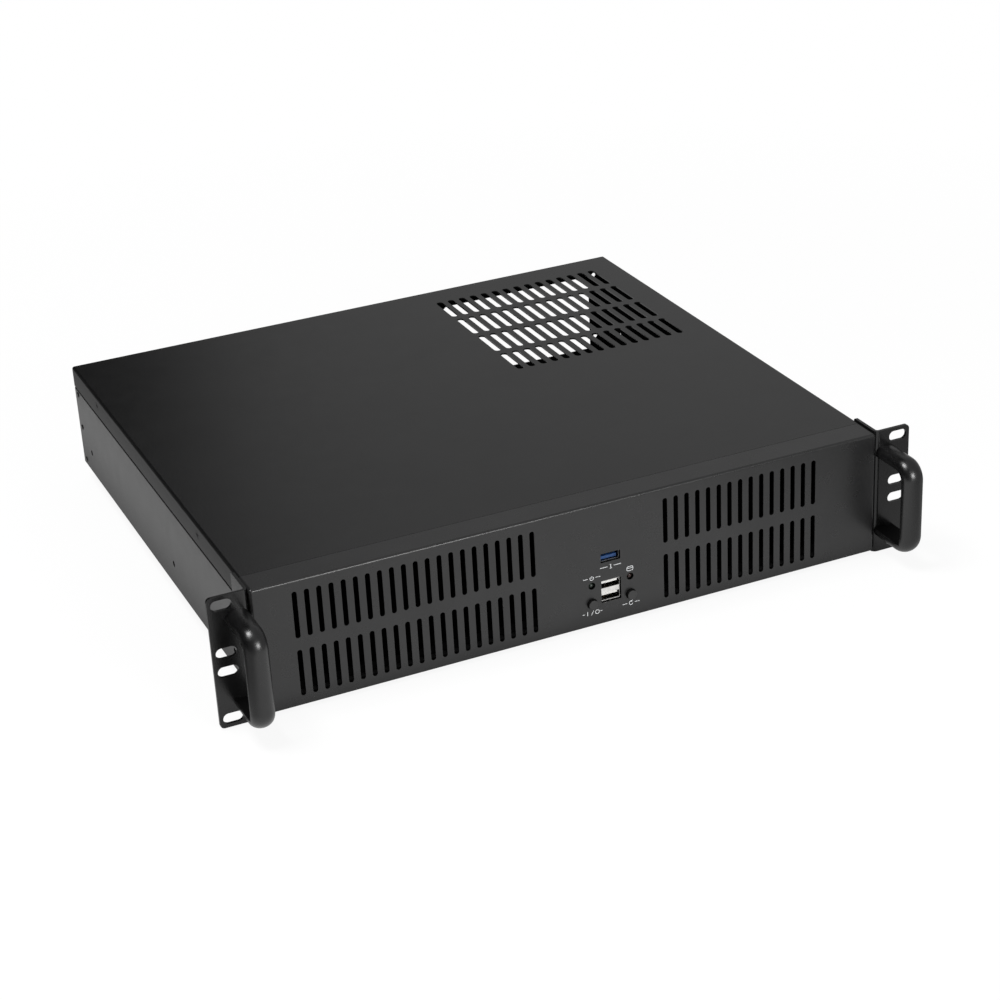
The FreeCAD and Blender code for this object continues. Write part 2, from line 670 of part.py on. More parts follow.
def rack_ear():
    """Right rack ear: angle with a rounded bend, four slots and screw holes."""
    path = [(PANEL_W / 2, EAR_SETBACK), (BODY_X, EAR_SETBACK), (BODY_X, EAR_SETBACK + EAR_FLANGE)]
    ear = folded(path, EAR_T, EAR_BEND, -1, "XY", 0, PANEL_H)
    x0 = BODY_X - OVER
    x1 = PANEL_W / 2
    y1 = EAR_SETBACK + EAR_FLANGE
    plate = [(x0, 0), (x1, 0), (x1, PANEL_H), (x0, PANEL_H)]
    flange = [(0, 0), (y1, 0), (y1, PANEL_H), (0, PANEL_H)]
    ear = ear.common(prism(plate, [0, EAR_CORNER_R, EAR_CORNER_R, 0], "XZ", 0, y1))
    ear = ear.common(prism(flange, [0, EAR_FLANGE_R, EAR_FLANGE_R, 0], "YZ", x0, x1))
    slot_x = PANEL_W / 2 - RACK_SLOT_EDGE
    cuts = [stadium(slot_x, z, RACK_SLOT_L, RACK_SLOT_W, False, "XZ", 0, EAR_BACK + OVER)
            for z in rack_heights()]
    bolt_r = M4_R + BOLT_GAP
    cuts += [hole(HANDLE_X, EAR_SETBACK, z, bolt_r, Vector(0, 1, 0), EAR_T) for z in handle_bolt_heights()]
    cuts += [hole(BODY_X, EAR_SCREW_Y, z, bolt_r, Vector(1, 0, 0), EAR_T) for z in ear_screw_heights()]
    return ear.cut(cuts)


def ear_screw_heights():
    """Heights of the screws through the flange of an ear."""
    return [PANEL_H / 2 - EAR_SCREW_SPAN / 2, PANEL_H / 2 + EAR_SCREW_SPAN / 2]


def rack_heights():
    """Heights of the four slots in a two unit ear."""
    middle = PANEL_H / 2
    inner = RACK_HOLE_PAIR / 2
    outer = inner + RACK_UNIT_HOLE
    return [middle - outer, middle - inner, middle + inner, middle + outer]


# Handles

def handle_bolt_heights():
    """Middle of each arm of a handle, where the bolts go in."""
    reach = HANDLE_H / 2 - HANDLE_T / 2
    return [PANEL_H / 2 - reach, PANEL_H / 2 + reach]


def handle_section(y, z):
    """Section of a handle arm: flat below, short upright sides, half an ellipse on top."""
    half = HANDLE_W / 2
    rim = z + HANDLE_SIDE
    right = HANDLE_X + half
    left = HANDLE_X - half
    base = [corner((left, rim), (left, z), (right, z), HANDLE_EDGE_R),
            corner((left, z), (right, z), (right, rim), HANDLE_EDGE_R)]
    (a, a_mid, a_end), (b, b_mid, b_end) = [[place("XZ", *p, y) for p in arc] for arc in base]
    left_rim = Vector(left, y, rim)
    right_rim = Vector(right, y, rim)
    crown = Part.Ellipse(right_rim, Vector(HANDLE_X, y, z + HANDLE_T), Vector(HANDLE_X, y, rim))
    return Part.Wire([
        Part.Arc(a, a_mid, a_end).toShape(),
        Part.LineSegment(a_end, b).toShape(),
        Part.Arc(b, b_mid, b_end).toShape(),
        Part.LineSegment(b_end, right_rim).toShape(),
        Part.ArcOfEllipse(crown, 0, math.pi).toShape(),
        Part.LineSegment(left_rim, a).toShape(),
    ])


def bow_handle():
    """Right bow handle: a bar, flat inside and crowned outside, swept round two corners."""
    inner = HANDLE_H / 2 - HANDLE_T
    reach = HANDLE_REACH - HANDLE_T
    r = HANDLE_CORNER_R - HANDLE_T
    root = EAR_SETBACK
    z0 = PANEL_H / 2 - inner
    z1 = PANEL_H / 2 + inner
    k = r * (1 - math.sqrt(0.5))

    def at(y, z):
        return Vector(HANDLE_X, y, z)

    path = Part.Wire([
        Part.LineSegment(at(root, z1), at(-reach + r, z1)).toShape(),
        Part.Arc(at(-reach + r, z1), at(-reach + k, z1 - k), at(-reach, z1 - r)).toShape(),
        Part.LineSegment(at(-reach, z1 - r), at(-reach, z0 + r)).toShape(),
        Part.Arc(at(-reach, z0 + r), at(-reach + k, z0 + k), at(-reach + r, z0)).toShape(),
        Part.LineSegment(at(-reach + r, z0), at(root, z0)).toShape(),
    ])
    bow = path.makePipeShell([handle_section(root, z1)], True, True)
    bores = [rod(HANDLE_X, root + OVER, z, M4_R + THREAD_GAP, HANDLE_BORE + OVER, Vector(0, -1, 0))
             for z in handle_bolt_heights()]
    return bow.cut(bores)


def handle_screws():
    """Bolts from behind the ears into the arms of the handles."""
    length = EAR_T + HANDLE_BORE - SCREW_END
    bolts = [pan_screw(HANDLE_X, EAR_BACK, z, Vector(0, -1, 0), M4_R, length, M4_HEAD_R, M4_HEAD_T)
             for z in handle_bolt_heights()]
    return both_sides(bolts)


def ear_screws():
    """Screws through ear, bezel and front wall on each side."""
    x = BODY_X + EAR_T
    length = x - WALL_X + SHEET + SCREW_END
    screws = [pan_screw(x, EAR_SCREW_Y, z, Vector(-1, 0, 0), M4_R, length, M4_HEAD_R, M4_HEAD_T)
              for z in ear_screw_heights()]
    return both_sides(screws)


def cover_screws():
    """Countersunk screws of the cover."""
    return both_sides([countersink(y, 0).removeSplitter() for y in cover_screw_ys()])


def wall_rivets():
    """Rivets that join the rear wall to the side walls."""
    rivets = []
    y = REAR_Y - RIVET_EDGE
    outwards = Vector(1, 0, 0)
    length = 2 * SHEET + SHEET_GAP / 2 + RIVET_TAIL
    for z in rivet_heights():
        seat = Vector(BODY_X, y, z)
        head = Part.makeCone(RIVET_HEAD_R, RIVET_HEAD_TOP_R, RIVET_HEAD_T, seat, outwards)
        shank = Part.makeCylinder(RIVET_R, length, seat, outwards * -1)
        rivets.append(head.fuse(shank).removeSplitter())
    return both_sides(rivets)


def slot_screws():
    """Screws that hold the slot covers on the ledge."""
    z = INSET_TOP + FIT + CARD_COVER_T
    length = CARD_COVER_T + SHEET + SCREW_END
    return [pan_screw(x, card_screw_y(), z, Vector(0, 0, -1), M3_R, length, M3_HEAD_R, M3_HEAD_T)
            for x in card_places()]


# Front ports, lamps and buttons

def port_posts():
    """Places of the posts between the front wall and the port board."""
    return [(PORTS_X + s * PORT_POST_X, z) for s in (-1, 1) for z in PORT_POST_Z]


def hexagon(x, y, z, across, length, axis):
    """Six sided bar from a point along the Y or the Z axis."""
    r = across / math.sqrt(3)
    points = [(r * math.cos(math.radians(60 * i)), r * math.sin(math.radians(60 * i))) for i in range(6)]
    if axis == "Y":
        return prism([(x + a, z + b) for a, b in points], 0, "XZ", y, y + length)
    return prism([(x + a, y + b) for a, b in points], 0, "XY", z, z + length)


def port_board():
    """Circuit board of the front ports, with holes for its screws."""
    z0 = WALL_FOOT + SHEET + SHEET_GAP
    half = PORT_BOARD_W / 2
    points = [(PORTS_X - half, z0), (PORTS_X + half, z0), (PORTS_X + half, z0 + PORT_BOARD_H),
              (PORTS_X - half, z0 + PORT_BOARD_H)]
    board = prism(points, PORT_BOARD_R, "XZ", PORT_BOARD_Y, PORT_BOARD_Y + PORT_BOARD_T)
    return board.cut([hole(x, PORT_BOARD_Y, z, M3_R + BOLT_GAP, Vector(0, 1, 0), PORT_BOARD_T)
                      for x, z in port_posts()])


def port_board_posts():
    """Hexagonal posts with a stud that is set into the front wall."""
    posts = []
    for x, z in port_posts():
        post = hexagon(x, WALL_BACK, z, STANDOFF_AF, PORT_BOARD_Y - WALL_BACK, "Y")
        stud = rod(x, WALL_BACK, z, M3_R, SHEET, Vector(0, -1, 0))
        bore = rod(x, PORT_BOARD_Y, z, M3_R + THREAD_GAP, POST_BORE, Vector(0, -1, 0))
        posts.append(post.fuse(stud).cut(bore))
    return posts


def port_board_screws():
    """Screws that hold the port board on its posts."""
    back = PORT_BOARD_Y + PORT_BOARD_T
    length = PORT_BOARD_T + POST_BORE - POST_BORE_END
    return [pan_screw(x, back, z, Vector(0, -1, 0), M3_R, length, M3_HEAD_R, M3_HEAD_T)
            for x, z in port_posts()]


def usb_shell(z, width, height, cavities):
    """Metal shell of a socket, open at the front, with one hollow per port."""
    w = width / 2
    h = height / 2
    points = [(PORTS_X - w, z - h), (PORTS_X + w, z - h), (PORTS_X + w, z + h), (PORTS_X - w, z + h)]
    shell = prism(points, USB_CORNER_R, "XZ", USB_RECESS, PORT_BOARD_Y)
    wi = w - USB_WALL
    hi = USB_CAVITY_H / 2
    cuts = [block(PORTS_X - wi, PORTS_X + wi, USB_RECESS - OVER, PORT_BOARD_Y - USB_BACK, c - hi, c + hi)
            for c in cavities]
    return shell.cut(cuts)


def usb_insert(width, cavity, side):
    """Plastic insert of one port: block at the back, tongue in the upper (1) or lower (-1) half."""
    wi = width / 2 - USB_WALL - FIT
    h = USB_CAVITY_H / 2 - FIT
    back = USB_RECESS + USB_CAVITY_D
    base = block(PORTS_X - wi, PORTS_X + wi, back, PORT_BOARD_Y - USB_BACK - FIT, cavity - h, cavity + h)
    middle = cavity + side * (h - TONGUE_DROP - TONGUE_T / 2)
    foot = middle - TONGUE_T / 2
    half = wi - TONGUE_SIDE
    tongue = block(PORTS_X - half, PORTS_X + half, USB_RECESS + TONGUE_RECESS, back, foot, foot + TONGUE_T)
    return base.fuse(tongue).removeSplitter()


def usb2_cavities():
    """Middle heights of the two stacked ports."""
    reach = USB2_H / 2 - USB_WALL * 2 - USB_CAVITY_H / 2
    return [USB2_Z - reach, USB2_Z + reach]


def lamp(x):
    """Domed indicator lamp on a short foot."""
    front = SHEET + LAMP_RECESS
    body = rod(x, front, LAMP_Z, LAMP_R, LAMP_L, Vector(0, 1, 0))
    dome = Part.makeSphere(LAMP_R, Vector(x, front, LAMP_Z)).common(
        block(x - LAMP_R, x + LAMP_R, front - LAMP_R, front, LAMP_Z - LAMP_R, LAMP_Z + LAMP_R))
    rim = rod(x, front + LAMP_L, LAMP_Z, LAMP_RIM_R, LAMP_RIM_T, Vector(0, 1, 0))
    return body.fuse([dome, rim]).removeSplitter()


def lamp_spacer(x):
    """Black tube that holds a lamp at the right distance from the board."""
    front = SHEET + LAMP_RECESS + SPACER_SETBACK
    depth = LAMP_L + LAMP_RIM_T - SPACER_SETBACK
    outer = rod(x, front, LAMP_Z, LAMP_RIM_R + SPACER_WALL, PORT_BOARD_Y - front, Vector(0, 1, 0))
    seat = rod(x, front - OVER, LAMP_Z, LAMP_RIM_R + FIT, depth + OVER, Vector(0, 1, 0))
    return outer.cut(seat)


def button(x):
    """Round button: cap, collar behind the bezel and stem to the switch."""
    r = BUTTON_HOLE_R - BUTTON_GAP
    collar_y = SHEET + SLIDE_GAP
    cap = rod(x, -BUTTON_PROUD, BUTTON_Z, r, BUTTON_PROUD + collar_y, Vector(0, 1, 0))
    cap = round_front(cap, -BUTTON_PROUD, BUTTON_EDGE_R)
    reach = r + BUTTON_COLLAR
    collar = rod(x, collar_y, BUTTON_Z, reach, BUTTON_COLLAR_T, Vector(0, 1, 0))
    foot = WALL_FOOT + SHEET + SLIDE_GAP
    collar = collar.cut(block(x - reach, x + reach, collar_y, collar_y + BUTTON_COLLAR_T, BODY_FLOOR, foot))
    stem_end = plunger_y() - SLIDE_GAP - BUTTON_TRAVEL
    stem = rod(x, collar_y, BUTTON_Z, BUTTON_STEM_R, stem_end - collar_y, Vector(0, 1, 0))
    return cap.fuse([collar, stem]).removeSplitter()


def plunger_y():
    """Front end of the switch plunger behind a button."""
    return PORT_BOARD_Y - SWITCH_H - SWITCH_PLUNGER


def switch(x):
    """Square push switch on the port board."""
    half = SWITCH_W / 2
    points = [(x - half, BUTTON_Z - half), (x + half, BUTTON_Z - half), (x + half, BUTTON_Z + half),
              (x - half, BUTTON_Z + half)]
    body = prism(points, SWITCH_CORNER_R, "XZ", PORT_BOARD_Y - SWITCH_H, PORT_BOARD_Y)
    plunger = rod(x, plunger_y(), BUTTON_Z, SWITCH_PLUNGER_R, SWITCH_PLUNGER, Vector(0, 1, 0))
    return body.fuse(plunger).removeSplitter()


# Inside of the case

def standoff_places():
    """Places of the board stand-offs, counted from the port corner of the board."""
    x = INSET_RIGHT - BOARD_MARGIN_X
    y = INSET_Y - SHEET - BOARD_MARGIN_Y
    return [(x - dx, y - dy) for dx in BOARD_COLUMNS for dy in BOARD_ROWS]


def board_standoffs():
    """Hexagonal stand-offs with a stud in the floor and a threaded hole."""
    out = []
    for x, y in standoff_places():
        post = hexagon(x, y, FLOOR_TOP, STANDOFF_AF, STANDOFF_H, "Z")
        stud = rod(x, y, BODY_FLOOR, M3_R, SHEET, Vector(0, 0, 1))
        bore = rod(x, y, FLOOR_TOP + STANDOFF_SOLE, M3_R, STANDOFF_H, Vector(0, 0, 1))
        out.append(post.fuse(stud).cut(bore))
    return out


def cage_span():
    """Outer depth of the drive cage."""
    return DRIVE_W + 2 * DRIVE_PLAY + 2 * SHEET


def drive_cage():
    """Channel with feet that holds two drives one over the other."""
    y0 = CAGE_Y
    y1 = CAGE_Y + cage_span()
    z0 = FLOOR_TOP
    z1 = FLOOR_TOP + CAGE_H
    path = [(y0 - CAGE_FOOT, z0), (y0, z0), (y0, z1), (y1, z1), (y1, z0), (y1 + CAGE_FOOT, z0)]
    path = [(y, z + SHEET if z == z0 else z) for y, z in path]
    cage = folded(path, SHEET, BEND, -1, "YZ", CAGE_X, CAGE_X + CAGE_L)
    cuts = []
    for level in DRIVE_LEVELS:
        for along in DRIVE_SCREWS:
            x = CAGE_X + DRIVE_SETBACK + along
            cuts.append(stadium(x, z0 + level, DRIVE_SLOT_L, DRIVE_SLOT_W, False, "XZ",
                                y0 - OVER, y1 + OVER))
    frame_x, frame_y = CAGE_FRAME
    x0 = CAGE_X + frame_x
    x1 = CAGE_X + CAGE_L - frame_x
    window = [(x0, y0 + frame_y), (x1, y0 + frame_y), (x1, y1 - frame_y), (x0, y1 - frame_y)]
    cuts.append(prism(window, CAGE_WINDOW_R, "XY", z1 - SHEET - OVER, z1 + OVER))
    cuts += [hole(x, y, z0, M3_R + BOLT_GAP, Vector(0, 0, 1)) for x, y in cage_screw_places()]
    return cage.cut(cuts)


def cage_screw_places():
    """Places of the screws through the feet of the drive cage."""
    middle = (CAGE_FOOT + SHEET) / 2
    ys = (CAGE_Y - middle, CAGE_Y + cage_span() + middle)
    return [(x, y) for x in (CAGE_X + CAGE_SCREW_IN, CAGE_X + CAGE_L - CAGE_SCREW_IN) for y in ys]


def psu_rest():
    """Low hat section on the floor that the power supply lies on."""
    y0 = REST_Y
    y1 = REST_Y + REST_W
    z0 = FLOOR_TOP + SHEET
    z1 = FLOOR_TOP + REST_H
    ya = y0 + REST_FOOT
    yb = y1 - REST_FOOT
    path = [(y0, z0), (ya, z0), (ya, z1), (yb, z1), (yb, z0), (y1, z0)]
    rest = folded(path, SHEET, BEND / 2, -1, "YZ", PSU_LEFT + REST_SIDE, PSU_RIGHT - REST_SIDE)
    return rest.cut([hole(x, y, FLOOR_TOP, M3_R + BOLT_GAP, Vector(0, 0, 1))
                     for x, y in rest_screw_places()])


def rest_screw_places():
    """Places of the screws of the power supply rest."""
    middle = REST_FOOT / 2
    return [(PSU_LEFT + REST_SCREW_IN, REST_Y + middle),
            (PSU_RIGHT - REST_SCREW_IN, REST_Y + REST_W - middle)]


def floor_screws():
    """Screws of the drive cage and of the power supply rest."""
    z = FLOOR_TOP + SHEET
    return [pan_screw(x, y, z, Vector(0, 0, -1), M3_R, 2 * SHEET, M3_HEAD_R, M3_HEAD_T)
            for x, y in cage_screw_places() + rest_screw_places()]


def export(name, shapes):
    """Write one node, as one solid or as a group of separate solids."""
    if not isinstance(shapes, list):
        shapes = [shapes]
    solids = []
    for shape in shapes:
        moved = shape.copy()
        moved.translate(ORIGIN_SHIFT)
        solids += moved.Solids
    whole = solids[0] if len(solids) == 1 else Part.makeCompound(solids)
    whole.exportStep("parts/" + name + ".step")
    good = all(s.isValid() for s in solids)
    print(f"{name:20s} solids {len(solids):2d} valid {good} volume {whole.Volume:10.1f}")


def main():
    os.makedirs("parts", exist_ok=True)
    power_x = PORTS_X - BUTTON_OFFSET
    reset_x = PORTS_X + BUTTON_OFFSET
    power_lamp_x = PORTS_X - LAMP_OFFSET
    drive_lamp_x = PORTS_X + LAMP_OFFSET
    ear = rack_ear()
    handle = bow_handle()
    export("chassis_base", chassis_base())
    export("top_cover", top_cover())
    export("rear_panel", rear_panel())
    export("front_wall", front_wall())
    export("front_bezel", front_bezel())
    export("rack_ear_right", ear)
    export("rack_ear_left", mirrored(ear))
    export("handle_right", handle)
    export("handle_left", mirrored(handle))
    export("handle_screws", handle_screws())
    export("ear_screws", ear_screws())
    export("cover_screws", cover_screws())
    export("wall_rivets", wall_rivets())
    for i, x in enumerate(card_places()):
        export(f"slot_cover_{i + 1}", slot_cover(x))
    export("slot_screws", slot_screws())
    export("port_board", port_board())
    export("port_board_posts", port_board_posts())
    export("port_board_screws", port_board_screws())
    export("usb3_shell", usb_shell(USB3_Z, USB3_W, USB3_H, [USB3_Z]))
    export("usb3_insert", usb_insert(USB3_W, USB3_Z, -1))
    export("usb2_shell", usb_shell(USB2_Z, USB2_W, USB2_H, usb2_cavities()))
    export("usb2_inserts", [usb_insert(USB2_W, c, 1) for c in usb2_cavities()])
    export("power_lamp", lamp(power_lamp_x))
    export("drive_lamp", lamp(drive_lamp_x))
    export("lamp_spacers", [lamp_spacer(power_lamp_x), lamp_spacer(drive_lamp_x)])
    export("power_button", button(power_x))
    export("reset_button", button(reset_x))
    export("power_switch", switch(power_x))
    export("reset_switch", switch(reset_x))
    export("board_standoffs", board_standoffs())
    export("drive_cage", drive_cage())
    export("psu_rest", psu_rest())
    export("floor_screws", floor_screws())


main()
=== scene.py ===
import math

import bmesh
import bpy
from bpy.props import FloatProperty, FloatVectorProperty, IntProperty, PointerProperty
from mathutils import Matrix, Vector

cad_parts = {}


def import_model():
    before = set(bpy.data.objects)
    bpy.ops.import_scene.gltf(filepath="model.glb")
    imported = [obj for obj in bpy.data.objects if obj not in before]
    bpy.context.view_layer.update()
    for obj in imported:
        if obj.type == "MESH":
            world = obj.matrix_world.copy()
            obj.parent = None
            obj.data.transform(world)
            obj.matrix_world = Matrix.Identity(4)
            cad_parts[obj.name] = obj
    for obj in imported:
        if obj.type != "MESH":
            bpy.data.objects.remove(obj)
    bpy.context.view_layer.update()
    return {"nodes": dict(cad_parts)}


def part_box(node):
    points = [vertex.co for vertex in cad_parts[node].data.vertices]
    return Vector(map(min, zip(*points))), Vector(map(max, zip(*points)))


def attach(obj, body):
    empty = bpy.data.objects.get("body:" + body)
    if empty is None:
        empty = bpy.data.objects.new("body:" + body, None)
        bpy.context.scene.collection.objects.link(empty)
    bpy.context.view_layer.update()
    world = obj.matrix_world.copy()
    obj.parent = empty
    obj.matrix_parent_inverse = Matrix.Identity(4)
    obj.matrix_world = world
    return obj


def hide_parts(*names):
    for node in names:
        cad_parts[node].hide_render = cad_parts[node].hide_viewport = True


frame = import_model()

bl_info = {
    "name": "Rackmount Server Case",
    "version": (1, 0, 0),
    "blender": (4, 5, 0),
    "location": "View3D > Sidebar > Server Case",
    "description": "Dresses an empty two unit rackmount case and sets up its studio",
    "category": "Object",
}

MM = 0.001
CASE = "case"

SHEET_NODES = ("chassis_base", "rear_panel", "slot_cover_1", "slot_cover_2", "slot_cover_3", "slot_cover_4")
COVER_NODES = ("top_cover",)
INNER_NODES = ("front_wall", "drive_cage", "psu_rest")
EAR_NODES = ("rack_ear_right", "rack_ear_left")
BEZEL_NODES = ("front_bezel",)
HANDLE_NODES = ("handle_right", "handle_left")
BUTTON_NODES = ("power_button", "reset_button")
SWITCH_NODES = ("power_switch", "reset_switch", "lamp_spacers")


# Settings

class CoatSettings(bpy.types.PropertyGroup):
    """Powder coat of the folded sheets and of the bezel."""
    case_colour: FloatVectorProperty(
        name="Case Colour", description="Coat of the case, linear", subtype="COLOR", size=3,
        default=(0.0062, 0.0062, 0.0063))
    bezel_colour: FloatVectorProperty(
        name="Bezel Colour", description="Coat of the bezel, linear", subtype="COLOR", size=3,
        default=(0.0140, 0.0140, 0.0142))
    ear_colour: FloatVectorProperty(
        name="Ear Colour", description="Coat of the rack ears, linear", subtype="COLOR", size=3,
        default=(0.0070, 0.0070, 0.0071))
    skin: FloatProperty(
        name="Skin", description="Depth to which a sheet counts as outside", default=0.7 * MM, unit="LENGTH",
        subtype="DISTANCE", precision=5)
    roughness: FloatProperty(
        name="Roughness", description="Mean roughness of the coat", default=0.22, min=0.0, max=1.0,
        subtype="FACTOR")
    rim: FloatProperty(
        name="Rim", description="Depth to which the wall of a bezel opening counts as outside",
        default=0.15 * MM, unit="LENGTH", subtype="DISTANCE", precision=5)
    bezel_sheet: FloatProperty(
        name="Bezel Sheet", description="Thickness of the bezel's wall that counts as outside",
        default=1.05 * MM, unit="LENGTH", subtype="DISTANCE", precision=5)
    bezel_roughness: FloatProperty(
        name="Bezel Roughness", description="Mean roughness of the bezel's coat", default=0.28, min=0.0,
        max=1.0, subtype="FACTOR")
    flank_roughness: FloatProperty(
        name="Flank Roughness", description="Mean roughness of the cover's side flanges", default=0.38,
        min=0.0, max=1.0, subtype="FACTOR")
    inset_x: FloatProperty(
        name="Inset Side", description="Right side of the inset field of the rear wall", default=56.0 * MM,
        unit="LENGTH", subtype="DISTANCE", precision=5)
    inset_depth: FloatProperty(
        name="Inset Depth", description="How far the inset field lies ahead of the rear wall's outer face",
        default=13.2 * MM, unit="LENGTH", subtype="DISTANCE", precision=5)
    grain: FloatProperty(
        name="Grain", description="Size of the dimples in the coat", default=0.9 * MM, unit="LENGTH",
        subtype="DISTANCE", precision=5)
    grain_depth: FloatProperty(
        name="Grain Depth", description="Depth of the dimples in the coat", default=0.022 * MM, unit="LENGTH",
        subtype="DISTANCE", precision=6)
    # Edges painted paler: partly wear from rubbing, partly painted highlight along the edges.
    edge: FloatProperty(
        name="Edge Wear", description="How much paler the coat is along its edges", default=0.5, min=0.0,
        max=1.0, subtype="FACTOR")
    edge_width: FloatProperty(
        name="Edge Width", description="Width of the paler edges", default=0.45 * MM, unit="LENGTH",
        subtype="DISTANCE", precision=5)


class PlasticSettings(bpy.types.PropertyGroup):
    """Moulded plastic of the handles and buttons."""
    handle_colour: FloatVectorProperty(
        name="Handle Colour", description="Colour of the handles, linear", subtype="COLOR", size=3,
        default=(0.004, 0.004, 0.0042))
    handle_roughness: FloatProperty(
        name="Handle Roughness", description="Mean roughness of the handles", default=0.29, min=0.0, max=1.0,
        subtype="FACTOR")
    handle_thickness: FloatProperty(
        name="Handle Thickness", description="From the crown of a handle to its flat inner side",
        default=7.5 * MM, unit="LENGTH", subtype="DISTANCE", precision=5)
    button_colour: FloatVectorProperty(
        name="Button Colour", description="Colour of the buttons, linear", subtype="COLOR", size=3,
        default=(0.020, 0.020, 0.020))


class ScrewSettings(bpy.types.PropertyGroup):
    """Heads and shanks of the screws."""
    m3_shank: FloatProperty(
        name="M3 Shank", description="Shank radius of the small screws", default=1.5 * MM, unit="LENGTH",
        subtype="DISTANCE", precision=5)
    m4_shank: FloatProperty(
        name="M4 Shank", description="Shank radius of the large screws", default=2.0 * MM, unit="LENGTH",
        subtype="DISTANCE", precision=5)
    m3_head: FloatProperty(
        name="M3 Head", description="Head height of the small screws", default=1.8 * MM, unit="LENGTH",
        subtype="DISTANCE", precision=5)
    m4_head: FloatProperty(
        name="M4 Head", description="Head height of the large screws", default=2.4 * MM, unit="LENGTH",
        subtype="DISTANCE", precision=5)
    recess_reach: FloatProperty(
        name="Recess Reach", description="Reach of the cross recess as a share of the head radius",
        default=0.56, min=0.1, max=0.9, subtype="FACTOR")
    recess_width: FloatProperty(
        name="Recess Width", description="Half width of an arm of the cross as a share of the head radius",
        default=0.13, min=0.02, max=0.4, subtype="FACTOR")
    recess_depth: FloatProperty(
        name="Recess Depth", description="Depth of the cross recess", default=1.1 * MM, unit="LENGTH",
        subtype="DISTANCE", precision=5)


class MarkSettings(bpy.types.PropertyGroup):
    """Printed marks beside the ports, lamps and buttons."""
    height: FloatProperty(
        name="Height", description="Height of a printed mark", default=3.0 * MM, unit="LENGTH",
        subtype="DISTANCE", precision=5)
    stroke: FloatProperty(
        name="Stroke", description="Width of a printed line", default=0.40 * MM, unit="LENGTH",
        subtype="DISTANCE", precision=5)
    film: FloatProperty(
        name="Film", description="Thickness of the print", default=0.03 * MM, unit="LENGTH",
        subtype="DISTANCE", precision=6)
    colour: FloatVectorProperty(
        name="Colour", description="Colour of the print, linear", subtype="COLOR", size=3,
        default=(0.72, 0.73, 0.74))
    socket_drop: FloatProperty(
        name="Socket Drop", description="From the middle of the upper socket down to its mark",
        default=6.7 * MM, unit="LENGTH", subtype="DISTANCE", precision=5)
    lamp_rise: FloatProperty(
        name="Lamp Rise", description="From a lamp up to its mark", default=5.6 * MM, unit="LENGTH",
        subtype="DISTANCE", precision=5)
    button_drop: FloatProperty(
        name="Button Drop", description="From a button down to its mark", default=6.6 * MM, unit="LENGTH",
        subtype="DISTANCE", precision=5)


class PortSettings(bpy.types.PropertyGroup):
    """Contacts inside the sockets."""
    contact_width: FloatProperty(
        name="Contact Width", description="Width of a gold contact", default=1.0 * MM, unit="LENGTH",
        subtype="DISTANCE", precision=5)
    contact_pitch: FloatProperty(
        name="Contact Pitch", description="From one contact to the next", default=2.4 * MM, unit="LENGTH",
        subtype="DISTANCE", precision=5)
    contact_count: IntProperty(
        name="Contacts", description="Contacts on one tongue", default=4, min=1, max=9)
    contact_thickness: FloatProperty(
        name="Contact Thickness", description="How far a contact stands off its tongue", default=0.08 * MM,
        unit="LENGTH", subtype="DISTANCE", precision=5)
    tongue_reach: FloatProperty(
        name="Tongue Reach", description="From the near side of an insert to the face of its tongue",
        default=2.25 * MM, unit="LENGTH", subtype="DISTANCE", precision=5)
    contact_length: FloatProperty(
        name="Contact Length", description="Length of a contact along the tongue", default=5.6 * MM,
        unit="LENGTH", subtype="DISTANCE", precision=5)


